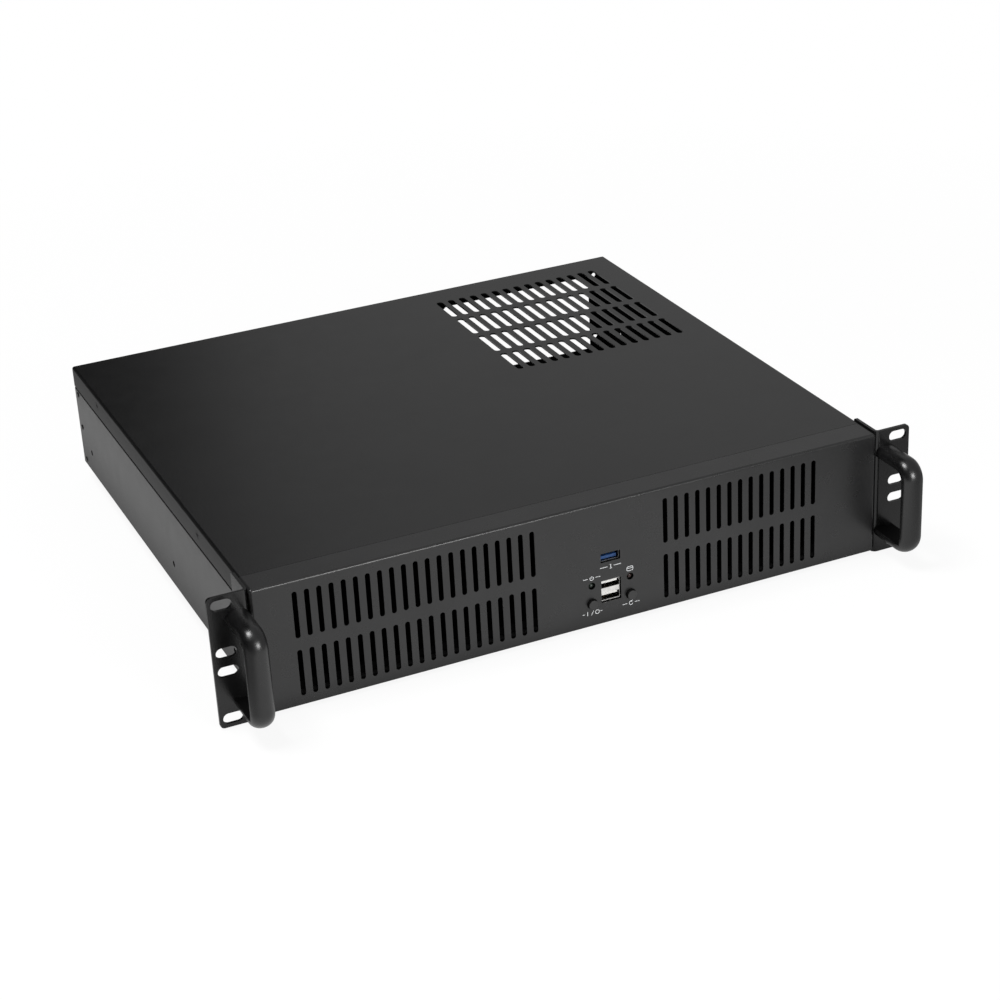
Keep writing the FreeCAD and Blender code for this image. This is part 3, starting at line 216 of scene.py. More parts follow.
class StageSettings(bpy.types.PropertyGroup):
    """Camera, floor and background."""
    azimuth: FloatProperty(
        name="Azimuth", description="Camera's turn round the case, seen from above",
        default=math.radians(-23.297), subtype="ANGLE", unit="ROTATION")
    elevation: FloatProperty(
        name="Elevation", description="Camera's height above the horizon", default=math.radians(26.166),
        subtype="ANGLE", unit="ROTATION")
    roll: FloatProperty(
        name="Roll", description="Camera's turn about its own line of sight", default=math.radians(-3.059),
        subtype="ANGLE", unit="ROTATION")
    distance: FloatProperty(
        name="Distance", description="From the camera to the point it looks at", default=1.6097,
        unit="LENGTH", subtype="DISTANCE")
    target: FloatVectorProperty(
        name="Target", description="Point that the camera looks at", default=(0.02339, 0.0, 0.01150), size=3,
        unit="LENGTH", subtype="TRANSLATION")
    lens: FloatProperty(
        name="Lens", description="Focal length over the width of the picture", default=2.3077)
    floor_size: FloatProperty(
        name="Floor Size", description="Width of the floor", default=12.0, unit="LENGTH", subtype="DISTANCE")
    gap: FloatProperty(
        name="Floor Gap", description="From the case down to the floor", default=0.6 * MM, unit="LENGTH",
        subtype="DISTANCE", precision=5)
    shadow_share: FloatProperty(
        name="Floor Glow", description="Share of the floor near the case that is plain white", default=0.90,
        min=0.0, max=1.0, subtype="FACTOR")
    front_level: FloatProperty(
        name="Front Floor", description="Level of the floor ahead of the case in reflections", default=0.93,
        min=0.0, max=1.0, subtype="FACTOR")
    left_level: FloatProperty(
        name="Left Floor", description="Level of the floor on the far left in reflections", default=0.42,
        min=0.0, max=1.0, subtype="FACTOR")
    right_level: FloatProperty(
        name="Right Floor", description="Level of the floor on the right in reflections", default=0.40,
        min=0.0, max=1.0, subtype="FACTOR")
    back_level: FloatProperty(
        name="Back Floor", description="Level of the floor behind the case and on its right in reflections",
        default=0.75, min=0.0, max=1.0, subtype="FACTOR")
    sky: FloatProperty(
        name="Studio Level", description="Strength of the soft studio light", default=0.38, min=0.0)
    wall_edge: FloatProperty(
        name="Wall Edge", description="Turn of the edge between the dark and the light wall",
        default=math.radians(15.4), subtype="ANGLE", unit="ROTATION")
    middle_wall: FloatProperty(
        name="Middle Wall", description="Level of the light wall where it begins, in reflections",
        default=0.305, min=0.0)
    light_wall: FloatProperty(
        name="Light Wall", description="Level of the light wall on the right, in reflections", default=0.37,
        min=0.0)
    front_wall: FloatProperty(
        name="Front Wall", description="Level of the wall ahead on the left, in reflections", default=0.11,
        min=0.0)


# Helpers

def new_piece(name, mesh_maker, material, body=CASE, smooth=True):
    """Object from a bmesh that a function fills, with one material, on a body of the frame."""
    bm = bmesh.new()
    mesh_maker(bm)
    bmesh.ops.recalc_face_normals(bm, faces=bm.faces)
    mesh = bpy.data.meshes.new(name)
    bm.to_mesh(mesh)
    bm.free()
    for face in mesh.polygons:
        face.use_smooth = smooth
    mesh.materials.append(material)
    piece = bpy.data.objects.new(name, mesh)
    bpy.context.scene.collection.objects.link(piece)
    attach(piece, body)
    return piece


def islands(node):
    """Boxes of the separate solids in a CAD node, as pairs of corners."""
    bm = bmesh.new()
    bm.from_mesh(frame["nodes"][node].data)
    bmesh.ops.remove_doubles(bm, verts=bm.verts, dist=1e-6)
    left = set(bm.verts)
    boxes = []
    while left:
        group = [left.pop()]
        lo = group[0].co.copy()
        hi = lo.copy()
        while group:
            vert = group.pop()
            lo = Vector(map(min, lo, vert.co))
            hi = Vector(map(max, hi, vert.co))
            for edge in vert.link_edges:
                other = edge.other_vert(vert)
                if other in left:
                    left.remove(other)
                    group.append(other)
        boxes.append((lo, hi))
    bm.free()
    return sorted(boxes, key=lambda pair: tuple(round(v, 5) for v in pair[0]))


def middle(box):
    """Middle of a box given as two corners."""
    return (box[0] + box[1]) / 2


def set_material(nodes, material):
    """Give CAD nodes a material in place of their own."""
    for name in nodes:
        for slot in frame["nodes"][name].material_slots:
            slot.material = material


# Node graphs and materials

class Graph:
    """A node tree, and short ways to add nodes to it."""

    def __init__(self, tree):
        tree.nodes.clear()
        self.tree = tree
        self.new = tree.nodes.new

    def link(self, output, socket):
        self.tree.links.new(output, socket)

    def remap(self, value, low, high, from_low=0.3, from_high=0.7):
        """Value spread from one range over another; a noise lies mostly between 0.3 and 0.7."""
        node = self.new("ShaderNodeMapRange")
        node.inputs["From Min"].default_value = from_low
        node.inputs["From Max"].default_value = from_high
        node.inputs["To Min"].default_value = low
        node.inputs["To Max"].default_value = high
        self.link(value, node.inputs["Value"])
        return node.outputs["Result"]

    def math(self, operation, a, b):
        """Result of one operation on two values, each an output or a number."""
        node = self.new("ShaderNodeMath")
        node.operation = operation
        for socket, value in zip(node.inputs, (a, b)):
            if isinstance(value, (int, float)):
                socket.default_value = value
            else:
                self.link(value, socket)
        return node.outputs["Value"]

    def vector(self, operation, *values):
        """Node of one operation on vectors, each an output or three numbers."""
        node = self.new("ShaderNodeVectorMath")
        node.operation = operation
        for socket, value in zip(node.inputs, values):
            if isinstance(value, bpy.types.NodeSocket):
                self.link(value, socket)
            else:
                socket.default_value = value
        return node

    def mix(self, factor, first, second):
        """Shader between two shaders."""
        node = self.new("ShaderNodeMixShader")
        self.link(factor, node.inputs["Fac"])
        self.link(first, node.inputs[1])
        self.link(second, node.inputs[2])
        return node.outputs["Shader"]


class Shader(Graph):
    """A material with a Principled shader, on object coordinates."""

    def __init__(self, name):
        self.material = bpy.data.materials.new(name)
        self.material.use_nodes = True
        super().__init__(self.material.node_tree)
        self.output = self.new("ShaderNodeOutputMaterial")
        self.surface = self.new("ShaderNodeBsdfPrincipled")
        self.link(self.surface.outputs["BSDF"], self.output.inputs["Surface"])
        self.place = self.new("ShaderNodeTexCoord").outputs["Object"]

    def set(self, **values):
        for name, value in values.items():
            self.surface.inputs[name.replace("_", " ")].default_value = value

    def mapped(self, scale, location=(0.0, 0.0, 0.0)):
        """Object coordinates, scaled and then moved."""
        node = self.new("ShaderNodeMapping")
        node.inputs["Scale"].default_value = scale
        node.inputs["Location"].default_value = location
        self.link(self.place, node.inputs["Vector"])
        return node.outputs["Vector"]

    def noise(self, size, detail=2.0, stretch=(1, 1, 1)):
        """Noise whose features have this size in metres; stretch squeezes it along an axis."""
        node = self.new("ShaderNodeTexNoise")
        node.inputs["Scale"].default_value = 1.0
        node.inputs["Detail"].default_value = detail
        self.link(self.mapped([s / size for s in stretch]), node.inputs["Vector"])
        return node.outputs["Fac"]

    def cells(self, size):
        """Distance field of cells of this size in metres."""
        node = self.new("ShaderNodeTexVoronoi")
        node.inputs["Scale"].default_value = 1.0
        self.link(self.mapped([1 / size] * 3), node.inputs["Vector"])
        return node.outputs["Distance"]

    def blend(self, factor, first, second):
        """Colour between two colours, each an output or three numbers."""
        node = self.new("ShaderNodeMix")
        node.data_type = "RGBA"
        sockets = {socket.identifier: socket for socket in (*node.inputs, *node.outputs)}
        self.link(factor, sockets["Factor_Float"])
        for key, value in (("A_Color", first), ("B_Color", second)):
            if isinstance(value, bpy.types.NodeSocket):
                self.link(value, sockets[key])
            else:
                sockets[key].default_value = (*value, 1.0)
        return sockets["Result_Color"]

    def tones(self, value, colour, low, high):
        """Colour that goes from one tint to another with a noise."""
        return self.blend(self.remap(value, 0.0, 1.0), tinted(colour, low), tinted(colour, high))

    def within(self, lo, hi):
        """Mask that is one inside a box of object coordinates."""
        scale = [2 / (b - a) for a, b in zip(lo, hi)]
        unit = self.mapped(scale, [-(a + b) / (b - a) for a, b in zip(lo, hi)])
        split = self.new("ShaderNodeSeparateXYZ")
        self.link(self.vector("ABSOLUTE", unit).outputs["Vector"], split.inputs["Vector"])
        largest = self.math("MAXIMUM", split.outputs["X"], split.outputs["Y"])
        return self.math("LESS_THAN", self.math("MAXIMUM", largest, split.outputs["Z"]), 1.0)

    def edges(self, width):
        """Mask that is one along sharp edges, this wide: where a rounded normal leaves the true one."""
        bevel = self.new("ShaderNodeBevel")
        bevel.samples = 4
        bevel.inputs["Radius"].default_value = width
        true = self.new("ShaderNodeNewGeometry").outputs["Normal"]
        cosine = self.vector("DOT_PRODUCT", bevel.outputs["Normal"], true).outputs["Value"]
        return self.remap(cosine, 1.0, 0.0, from_low=0.80, from_high=0.995)

    def bump(self, height, depth, strength=1.0, before=None):
        """Bump of this depth in metres, on top of an earlier one."""
        node = self.new("ShaderNodeBump")
        node.inputs["Strength"].default_value = strength
        node.inputs["Distance"].default_value = depth
        self.link(height, node.inputs["Height"])
        if before:
            self.link(before, node.inputs["Normal"])
        return node.outputs["Normal"]

    def colour(self, output):
        self.link(output, self.surface.inputs["Base Color"])

    def roughness(self, output):
        self.link(output, self.surface.inputs["Roughness"])

    def normal(self, output):
        self.link(output, self.surface.inputs["Normal"])


def tinted(colour, factor):
    """Colour made lighter or darker."""
    return [min(c * factor, 1.0) for c in colour]


FAR = 1.0                     # beyond the case on every side, in metres
BEZEL_DEPTH_SHARE = 0.6       # part of the bezel's depth whose inside counts as the hollow of its openings
INNER_ROUGHNESS = 0.9         # roughness of the coat in the room inside the case
DULL_ROUGHNESS = 0.7          # roughness of moulded plastic where it is dull


def inside(shader, coat):
    """Mask of the room inside the case, which the coat shows with painted shade: up to the inset field, up to
    the rear wall beside it, and in the hollow of the bezel's openings.
    """
    cover_lo, cover_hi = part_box("top_cover")
    skin = Vector((coat.skin, coat.skin, coat.skin))
    lo = Vector((cover_lo.x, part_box("front_bezel")[0].y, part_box("chassis_base")[0].z)) + skin
    hi = cover_hi - skin
    ahead = shader.within(lo, (hi.x, cover_hi.y - coat.inset_depth, hi.z))
    beside = shader.within((coat.inset_x, lo.y, lo.z), hi)
    face_lo, face_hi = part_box("front_bezel")
    wall = Vector((coat.bezel_sheet, 0.0, coat.bezel_sheet))
    behind = face_lo.y + BEZEL_DEPTH_SHARE * (face_hi.y - face_lo.y)
    openings = shader.within(face_lo + wall + Vector((0.0, coat.rim, 0.0)),
                             Vector((face_hi.x, behind, face_hi.z)) - wall)
    return shader.math("MAXIMUM", shader.math("MAXIMUM", ahead, beside), openings)


def powder_coat(name, colour, coat, gloss=0.5, roughness=None, flank=None):
    """Satin powder coat: fine dimples, faint clouds, edges painted paler as wear from rubbing and as painted
    highlight, and painted shade inside the case, where it is darker and matt without sheen.
    """
    shader = Shader(name)
    base = roughness or coat.roughness
    tone = shader.tones(shader.noise(35 * MM, detail=3.0), colour, 0.92, 1.10)
    specks = shader.remap(shader.noise(0.5 * MM, detail=1.0), 0.0, 0.5, from_low=0.66, from_high=0.80)
    tone = shader.blend(specks, tone, tinted(colour, 2.0))
    # Paler edges: partly wear from rubbing, partly painted highlight along the edges.
    uneven = shader.remap(shader.noise(6 * MM), 0.25, 1.0)
    rubbed_and_highlit = shader.math("MULTIPLY", shader.edges(coat.edge_width), uneven)
    rubbed_and_highlit = shader.math("MULTIPLY", rubbed_and_highlit, coat.edge)
    tone = shader.blend(rubbed_and_highlit, tone, tinted(colour, 4.2))
    # Painted shade: inside the case the coat is darker and has no sheen.
    inner = inside(shader, coat)
    shader.colour(shader.blend(inner, tone, tinted(colour, 0.5)))
    matt = shader.remap(shader.noise(12 * MM, detail=4.0), base - 0.015, base + 0.02)
    if flank:
        lo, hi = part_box("top_cover")
        lid = shader.within((lo.x + coat.skin, lo.y - FAR, -FAR), (hi.x - coat.skin, hi.y + FAR, FAR))
        matt = shader.math("MAXIMUM", matt, shader.math("MULTIPLY", shader.math("SUBTRACT", 1.0, lid), flank))
    shader.roughness(shader.math("MAXIMUM", matt, shader.math("MULTIPLY", inner, INNER_ROUGHNESS)))
    dimples = shader.bump(shader.cells(coat.grain), coat.grain_depth, strength=0.8)
    fine = shader.noise(coat.grain / 2)
    shader.normal(shader.bump(fine, coat.grain_depth / 2, strength=0.7, before=dimples))
    shader.set(IOR=1.5, Specular_IOR_Level=gloss)
    level = shader.remap(inner, gloss, 0.0, from_low=0.0, from_high=1.0)
    shader.link(level, shader.surface.inputs["Specular IOR Level"])
    return shader.material


def moulded_plastic(name, colour, roughness, depth=0.006 * MM, ior=1.5, dull_and_shaded=None):
    """Moulded plastic with a fine sheen, flow marks, edges painted paler as wear from rubbing and as painted
    highlight, and painted shade inside a given box, where it is dark and matt.
    """
    shader = Shader(name)
    tone = shader.tones(shader.noise(14 * MM, detail=3.0, stretch=(1, 1, 0.35)), colour, 0.9, 1.15)
    # Paler edges: partly wear from rubbing, partly painted highlight along the edges.
    rubbed_and_highlit = shader.math("MULTIPLY", shader.edges(0.4 * MM), 0.35)
    tone = shader.blend(rubbed_and_highlit, tone, tinted(colour, 2.6))
    matt = shader.remap(shader.noise(5 * MM, detail=4.0), roughness - 0.03, roughness + 0.05)
    if dull_and_shaded:
        # Painted shade: inside the box the plastic is darker, rougher and almost without sheen.
        mask = shader.within(*dull_and_shaded)
        tone = shader.blend(mask, tone, tinted(colour, 0.35))
        matt = shader.math("MAXIMUM", matt, shader.math("MULTIPLY", mask, DULL_ROUGHNESS))
        level = shader.remap(mask, 0.5, 0.06, from_low=0.0, from_high=1.0)
        shader.link(level, shader.surface.inputs["Specular IOR Level"])
    shader.colour(tone)
    shader.roughness(matt)
    shader.normal(shader.bump(shader.noise(0.35 * MM), depth, strength=0.6))
    shader.set(IOR=ior)
    return shader.material


def plated_metal(name, colour, roughness, hollow=None):
    """Plated metal with fine brushing and darker patches, with painted shade inside a given box, where it is
    nearly black.
    """
    shader = Shader(name)
    tone = shader.tones(shader.noise(2.5 * MM, detail=3.0), colour, 0.86, 1.06)
    if hollow:
        # Painted shade: the metal inside the box is nearly black.
        tone = shader.blend(shader.within(*hollow), tone, tinted(colour, 0.08))
    shader.colour(tone)
    lines = shader.noise(0.6 * MM, stretch=(1, 0.1, 3))
    shader.roughness(shader.remap(lines, roughness - 0.06, roughness + 0.1))
    shader.normal(shader.bump(lines, 0.004 * MM, strength=0.5))
    shader.set(Metallic=1.0)
    return shader.material


def circuit_board(name, colour):
    """Coated board with faint tracks under the coat."""
    shader = Shader(name)
    tracks = shader.cells(3.2 * MM)
    between = shader.remap(tracks, 0.0, 1.0, from_low=0.42, from_high=0.46)
    shader.colour(shader.blend(between, colour, tinted(colour, 1.9)))
    shader.roughness(shader.remap(shader.noise(1.5 * MM), 0.32, 0.45))
    shader.normal(shader.bump(tracks, 0.02 * MM, strength=0.5))
    return shader.material


def lamp_lens(name, colour):
    """Tinted lens, paler in places, with slight ripples."""
    shader = Shader(name)
    ripples = shader.noise(1.1 * MM)
    shader.colour(shader.tones(ripples, colour, 0.8, 1.25))
    shader.roughness(shader.remap(shader.noise(0.8 * MM), 0.10, 0.2))
    shader.normal(shader.bump(ripples, 0.01 * MM, strength=0.4))
    shader.set(Transmission_Weight=0.1, IOR=1.5)
    return shader.material


def print_film(name, colour):
    """Screen printed mark with slightly uneven cover."""
    shader = Shader(name)
    cover = shader.noise(0.35 * MM, detail=3.0)
    shader.colour(shader.tones(cover, colour, 0.82, 1.04))
    shader.roughness(shader.remap(cover, 0.5, 0.62))
    shader.normal(shader.bump(cover, 0.004 * MM, strength=0.5))
    return shader.material


# Screws

HEAD_CROWN = 0.42             # part of a head's height that is crowned
RIM_SHARE = 0.25              # part of the rim's height above the loop that keeps its edge crisp
END_SLOPE = 0.3               # slope at the ends of the cross, as a share of the head's radius
ARM_SLOPE = 0.35              # slope at the sides of the cross, as a share of an arm's half width
TIP_START = 0.93              # part of a shank's length before it narrows
TIP_RADIUS = 0.75             # part of its radius that is left at the tip
FLUSH_HEAD = 1.2 * MM         # height of a countersunk head


def screw_mesh(bm, seat, axis, head_r, head_h, shank_r, shank_l, screw, flush=False):
    """Screw with a cross recess: axis points out of the head, seat is the head's outer rim level."""
    turns = 72
    rings = 14
    spin = axis.to_track_quat("Z", "Y").to_matrix().to_4x4()
    to_place = Matrix.Translation(seat) @ spin
    crown = 0.0 if flush else head_h * HEAD_CROWN

    def top(r, angle):
        height = -crown * (r / head_r) ** 2
        arm = min(abs(r * math.cos(angle)), abs(r * math.sin(angle)))
        reach = screw.recess_reach * head_r
        width = screw.recess_width * head_r
        if r < reach and arm < width:
            ends = min(1.0, (reach - r) / (END_SLOPE * head_r))
            sides = min(1.0, (width - arm) / (ARM_SLOPE * width))
            height -= screw.recess_depth * (ends * sides)
        return height

    centre = bm.verts.new(to_place @ Vector((0, 0, top(0, 0))))
    loops = []
    for i in range(1, rings + 1):
        r = head_r * i / rings
        loops.append([(r, 2 * math.pi * k / turns, None) for k in range(turns)])
    below = crown + (0 if flush else (head_h - crown) * RIM_SHARE)
    cone_r = shank_r if flush else head_r
    profile = [(head_r, -below), (cone_r, -head_h), (shank_r, -head_h),
               (shank_r, -head_h - shank_l * TIP_START), (shank_r * TIP_RADIUS, -head_h - shank_l)]
    for r, z in profile:
        loops.append([(r, 2 * math.pi * k / turns, z) for k in range(turns)])
    rows = []
    for loop in loops:
        row = []
        for r, angle, z in loop:
            level = top(r, angle) if z is None else z
            row.append(bm.verts.new(to_place @ Vector((r * math.cos(angle), r * math.sin(angle), level))))
        rows.append(row)
    for k in range(turns):
        bm.faces.new((centre, rows[0][k], rows[0][(k + 1) % turns]))
    for low, high in zip(rows, rows[1:]):
        for k in range(turns):
            n = (k + 1) % turns
            bm.faces.new((low[k], high[k], high[n], low[n]))
    bm.faces.new(rows[-1])


def screws_of_node(node, axis_of, size, screw, material, flush=False):
    """Detailed screws in the place of the plain ones of a CAD node."""
    shank_r = screw.m4_shank if size == "M4" else screw.m3_shank
    head_h = screw.m4_head if size == "M4" else screw.m3_head

    def fill(bm):
        for lo, hi in islands(node):
            axis = axis_of(lo)
            size_along = abs((hi - lo).dot(axis))
            across = [hi[i] - lo[i] for i in range(3) if abs(axis[i]) < 0.5]
            seat = (lo + hi) / 2 + axis * (size_along / 2)
            depth = FLUSH_HEAD if flush else head_h
            screw_mesh(bm, seat, axis, max(across) / 2, depth, shank_r, size_along - depth, screw, flush)

    piece = new_piece(node + "_detailed", fill, material)
    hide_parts(node)


def sideways(lo):
    """Outward direction of what lies on the left or the right side."""
    return Vector((1, 0, 0)) if lo.x > 0 else Vector((-1, 0, 0))


def backwards(lo):
    """Direction to the rear of the case, wherever the screw is."""
    return Vector((0, 1, 0))


def upwards(lo):
    """Direction upwards, wherever the screw is."""
    return Vector((0, 0, 1))


# Printed marks, each drawn as lines round the point (x, z) in shares of its height h

ARC_STEPS = 28


def ribbon(bm, points, width, face_y, film):
    """Flat printed line through points (x, z), on the plane of the bezel's face."""
    last = len(points) - 1
    pairs = []
    for i, (x, z) in enumerate(points):
        before = points[max(i - 1, 0)]
        after = points[min(i + 1, last)]
        run = Vector((after[0] - before[0], after[1] - before[1])).normalized()
        side = Vector((-run.y, run.x)) * (width / 2)
        pairs.append((Vector((x, z)) + side, Vector((x, z)) - side))
    levels = []
    for y in (face_y - film, face_y + film / 2):
        levels.append([[bm.verts.new((p.x, y, p.y)) for p in pair] for pair in pairs])
    front, back = levels
    for i in range(last):
        j = i + 1
        bm.faces.new((front[i][0], front[j][0], front[j][1], front[i][1]))
        for s in (0, 1):
            bm.faces.new((front[i][s], back[i][s], back[j][s], front[j][s]))
    for i in (0, last):
        bm.faces.new((front[i][0], front[i][1], back[i][1], back[i][0]))


def arc(x, z, radius, start, end, squash=1.0):
    """Points of an arc, angles in degrees, anticlockwise from the right."""
    out = []
    for i in range(ARC_STEPS + 1):
        a = math.radians(start + (end - start) * i / ARC_STEPS)
        out.append((x + radius * math.cos(a), z + radius * squash * math.sin(a)))
    return out


def dashes(x, z, near, far):
    """A level line on each side of a mark."""
    return [[(x - far, z), (x - near, z)], [(x + near, z), (x + far, z)]]


def lamp_mark(x, z, h):
    """Circle with a stroke from its middle upwards: power."""
    r = h * 0.42
    stroke = [(x, z - h * 0.02), (x, z + h * 0.5)]
    return [arc(x, z - h * 0.05, r, 125, 415), stroke] + dashes(x, z, h * 0.9, h * 2)


def drive_mark(x, z, h):
    """Drum of a drive: an ellipse, two sides and a half ellipse."""
    w = h * 0.7
    top = z + h * 0.30
    foot = z - h * 0.30
    return [arc(x, top, w, 0, 360, squash=0.32), [(x - w, top), (x - w, foot)], [(x + w, top), (x + w, foot)],
            arc(x, foot, w, 180, 360, squash=0.32)]


def switch_mark(x, z, h):
    """Bar, slash and ring: on and off."""
    gap = h * 1.15
    return [[(x - gap, z - h / 2), (x - gap, z + h / 2)],
            [(x - h * 0.28, z - h / 2), (x + h * 0.28, z + h / 2)],
            arc(x + gap, z, h * 0.45, 0, 360)] + dashes(x, z, h * 1.85, h * 2.3)


def restart_mark(x, z, h):
    """Open ring with an arrow head: restart."""
    r = h * 0.44
    tip = (x + r * math.cos(math.radians(40)), z + r * math.sin(math.radians(40)))
    head = [(tip[0] - h * 0.02, tip[1] + h * 0.34), tip, (tip[0] - h * 0.36, tip[1] - h * 0.02)]
    return [arc(x, z, r, 40, 340), head] + dashes(x, z, h * 0.9, h * 2)


def socket_mark(x, z, h):
    """Plain number one between two short lines."""
    return [[(x - h * 0.24, z + h * 0.26), (x + h * 0.04, z + h / 2), (x + h * 0.04, z - h / 2)],
            [(x - h * 0.22, z - h / 2), (x + h * 0.30, z - h / 2)]] + dashes(x, z, h * 0.75, h * 2.5)


# Operators

MARGIN = 1 * MM               # takes a mask past the end of a part
FACE_MARGIN = 0.05 * MM       # takes a flat face into a mask
BUTTON_RIM = 0.25 * MM        # part of a button's side that keeps its sheen
SOCKET_LIP = 0.7 * MM         # bright part of a socket's shell behind its mouth


class CoatOperator(bpy.types.Operator):
    """Powder coat on the folded sheets, the ears and the bezel"""
    bl_idname = "server_case.coat"
    bl_label = "Powder Coat"

    def execute(self, context):
        coat = context.scene.server_case_coat
        set_material(SHEET_NODES, powder_coat("case_coat", coat.case_colour, coat))
        # Painted shade: the front wall, drive cage and power supply rest get a coat darker than the case's
        # and almost without sheen, so the room behind the vents looks black.
        set_material(INNER_NODES, powder_coat("inner_shaded_coat", tinted(coat.case_colour, 0.4), coat, gloss=0.08))
        cover = powder_coat("cover_coat", coat.case_colour, coat, flank=coat.flank_roughness)
        set_material(COVER_NODES, cover)
        bezel = powder_coat("bezel_coat", coat.bezel_colour, coat, roughness=coat.bezel_roughness)
        set_material(BEZEL_NODES, bezel)
        set_material(EAR_NODES, powder_coat("ear_coat", coat.ear_colour, coat, gloss=0.47))
        return {"FINISHED"}


class PlasticOperator(bpy.types.Operator):
    """Moulded plastic on handles, buttons, switches and lamp spacers"""
    bl_idname = "server_case.plastic"
    bl_label = "Moulded Plastic"

    def execute(self, context):
        plastic = context.scene.server_case_plastic
        # Painted shade inside each handle's bow: the faces behind the bar and between the arms are darker and
        # matt.
        lo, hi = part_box("handle_left")
        thickness = plastic.handle_thickness - FACE_MARGIN
        gap_lo = (-FAR, lo.y + thickness, lo.z + thickness)
        gap_hi = (FAR, hi.y + MARGIN, hi.z - thickness)
        handle = moulded_plastic("handle_plastic", plastic.handle_colour, plastic.handle_roughness,
                                 depth=0.003 * MM, ior=1.58, dull_and_shaded=(gap_lo, gap_hi))
        # Painted shade on the buttons' sides, behind a thin rim at the front: darker and matt.
        lo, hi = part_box("power_button")
        sides = ((-FAR, lo.y + BUTTON_RIM, -FAR), (FAR, hi.y, FAR))
        button = moulded_plastic("button_plastic", plastic.button_colour, 0.42, depth=0.012 * MM, dull_and_shaded=sides)
        set_material(HANDLE_NODES, handle)
        set_material(BUTTON_NODES, button)
        set_material(SWITCH_NODES, moulded_plastic("switch_plastic", (0.012, 0.012, 0.012), 0.5))
        return {"FINISHED"}


class FittingsOperator(bpy.types.Operator):
    """Metal, plastic and board of the front ports, posts, rivets and stand-offs"""
    bl_idname = "server_case.fittings"
    bl_label = "Fittings"

    def execute(self, context):
        # Painted shade deep in the socket shells, behind their bright lip.
        lo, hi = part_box("usb2_shell")
        hollow = ((lo.x - MARGIN, lo.y + SOCKET_LIP, 0.0), (hi.x + MARGIN, hi.y, FAR))
        nickel = plated_metal("socket_metal", (0.80, 0.79, 0.77), 0.24, hollow=hollow)
        # Painted shade: a darker copy of the same socket nickel, for the USB 3 shell.
        shaded_nickel = plated_metal("shaded_socket_metal", (0.36, 0.35, 0.34), 0.28, hollow=hollow)
        brass = plated_metal("post_metal", (0.66, 0.65, 0.62), 0.32)
        set_material(("usb2_shell",), nickel)
        set_material(("usb3_shell",), shaded_nickel)
        set_material(("port_board_posts", "board_standoffs"), brass)
        set_material(("usb3_insert",), moulded_plastic("blue_insert", (0.016, 0.062, 0.19), 0.4))
        set_material(("usb2_inserts",), moulded_plastic("white_insert", (0.78, 0.77, 0.74), 0.4))
        set_material(("power_lamp",), lamp_lens("green_lens", (0.020, 0.030, 0.023)))
        set_material(("drive_lamp",), lamp_lens("red_lens", (0.030, 0.014, 0.012)))
        set_material(("port_board",), circuit_board("green_board", (0.015, 0.10, 0.045)))
        coat = context.scene.server_case_coat
        set_material(("wall_rivets",), powder_coat("rivet_coat", coat.case_colour, coat))
        return {"FINISHED"}


class ScrewOperator(bpy.types.Operator):
    """Screws with cross recesses in the place of the plain ones"""
    bl_idname = "server_case.screws"
    bl_label = "Screws"

    def execute(self, context):
        screw = context.scene.server_case_screws
        black = plated_metal("black_steel", (0.045, 0.045, 0.047), 0.38)
        zinc = plated_metal("zinc_steel", (0.62, 0.63, 0.64), 0.34)
        screws_of_node("cover_screws", sideways, "M3", screw, black, flush=True)
        screws_of_node("ear_screws", sideways, "M4", screw, black)
        screws_of_node("handle_screws", backwards, "M4", screw, black)
        screws_of_node("slot_screws", upwards, "M3", screw, zinc)
        screws_of_node("port_board_screws", backwards, "M3", screw, zinc)
        screws_of_node("floor_screws", upwards, "M3", screw, zinc)
        return {"FINISHED"}


class MarkOperator(bpy.types.Operator):
    """Printed marks beside the ports, lamps and buttons"""
    bl_idname = "server_case.marks"
    bl_label = "Printed Marks"

    def execute(self, context):
        mark = context.scene.server_case_marks
        face_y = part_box("front_bezel")[0].y
        film = print_film("white_print", mark.colour)
        socket = middle(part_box("usb3_shell"))
        lamp = middle(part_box("power_lamp"))
        drive = middle(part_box("drive_lamp"))
        power = middle(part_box("power_button"))
        reset = middle(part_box("reset_button"))
        h = mark.height
        marks = {
            "socket_mark": socket_mark(socket.x, socket.z - mark.socket_drop, h),
            "power_lamp_mark": lamp_mark(lamp.x, lamp.z + mark.lamp_rise, h),
            "drive_lamp_mark": drive_mark(drive.x, drive.z + mark.lamp_rise, h),
            "power_button_mark": switch_mark(power.x, power.z - mark.button_drop, h),
            "reset_button_mark": restart_mark(reset.x, reset.z - mark.button_drop, h),
        }
        for name, lines in marks.items():
            def fill(bm, lines=lines):
                for points in lines:
                    ribbon(bm, points, mark.stroke, face_y, mark.film)
            new_piece(name, fill, film, smooth=False)
        return {"FINISHED"}


class ContactOperator(bpy.types.Operator):
    """Gold contacts on the tongues of the sockets"""
    bl_idname = "server_case.contacts"
    bl_label = "Socket Contacts"

    def execute(self, context):
        port = context.scene.server_case_ports
        # Gold a good deal darker than its own colour: painted shade inside the sockets.
        gold = plated_metal("contact_gold", (0.42, 0.29, 0.12), 0.25)
        for node, side in (("usb3_insert", 1), ("usb2_inserts", -1)):
            boxes = islands(node)

            def fill(bm, boxes=boxes, side=side):
                for lo, hi in boxes:
                    contacts(bm, lo, hi, side, port)

            new_piece(node + "_contacts", fill, gold, smooth=False)
        return {"FINISHED"}


CONTACT_SETBACK = 1.6 * MM    # from the front of a tongue to its contacts
CONTACT_RAMP = 0.5 * MM       # length over which a contact leaves its tongue
CONTACT_CREST = 0.55          # place of its highest point, as a share of its length
CONTACT_ROOT = 0.02 * MM      # how deep it sits in the tongue
CONTACT_RISE = (0.0, 1.0, 1.6, 0.6)  # how far its bends stand off, in thicknesses


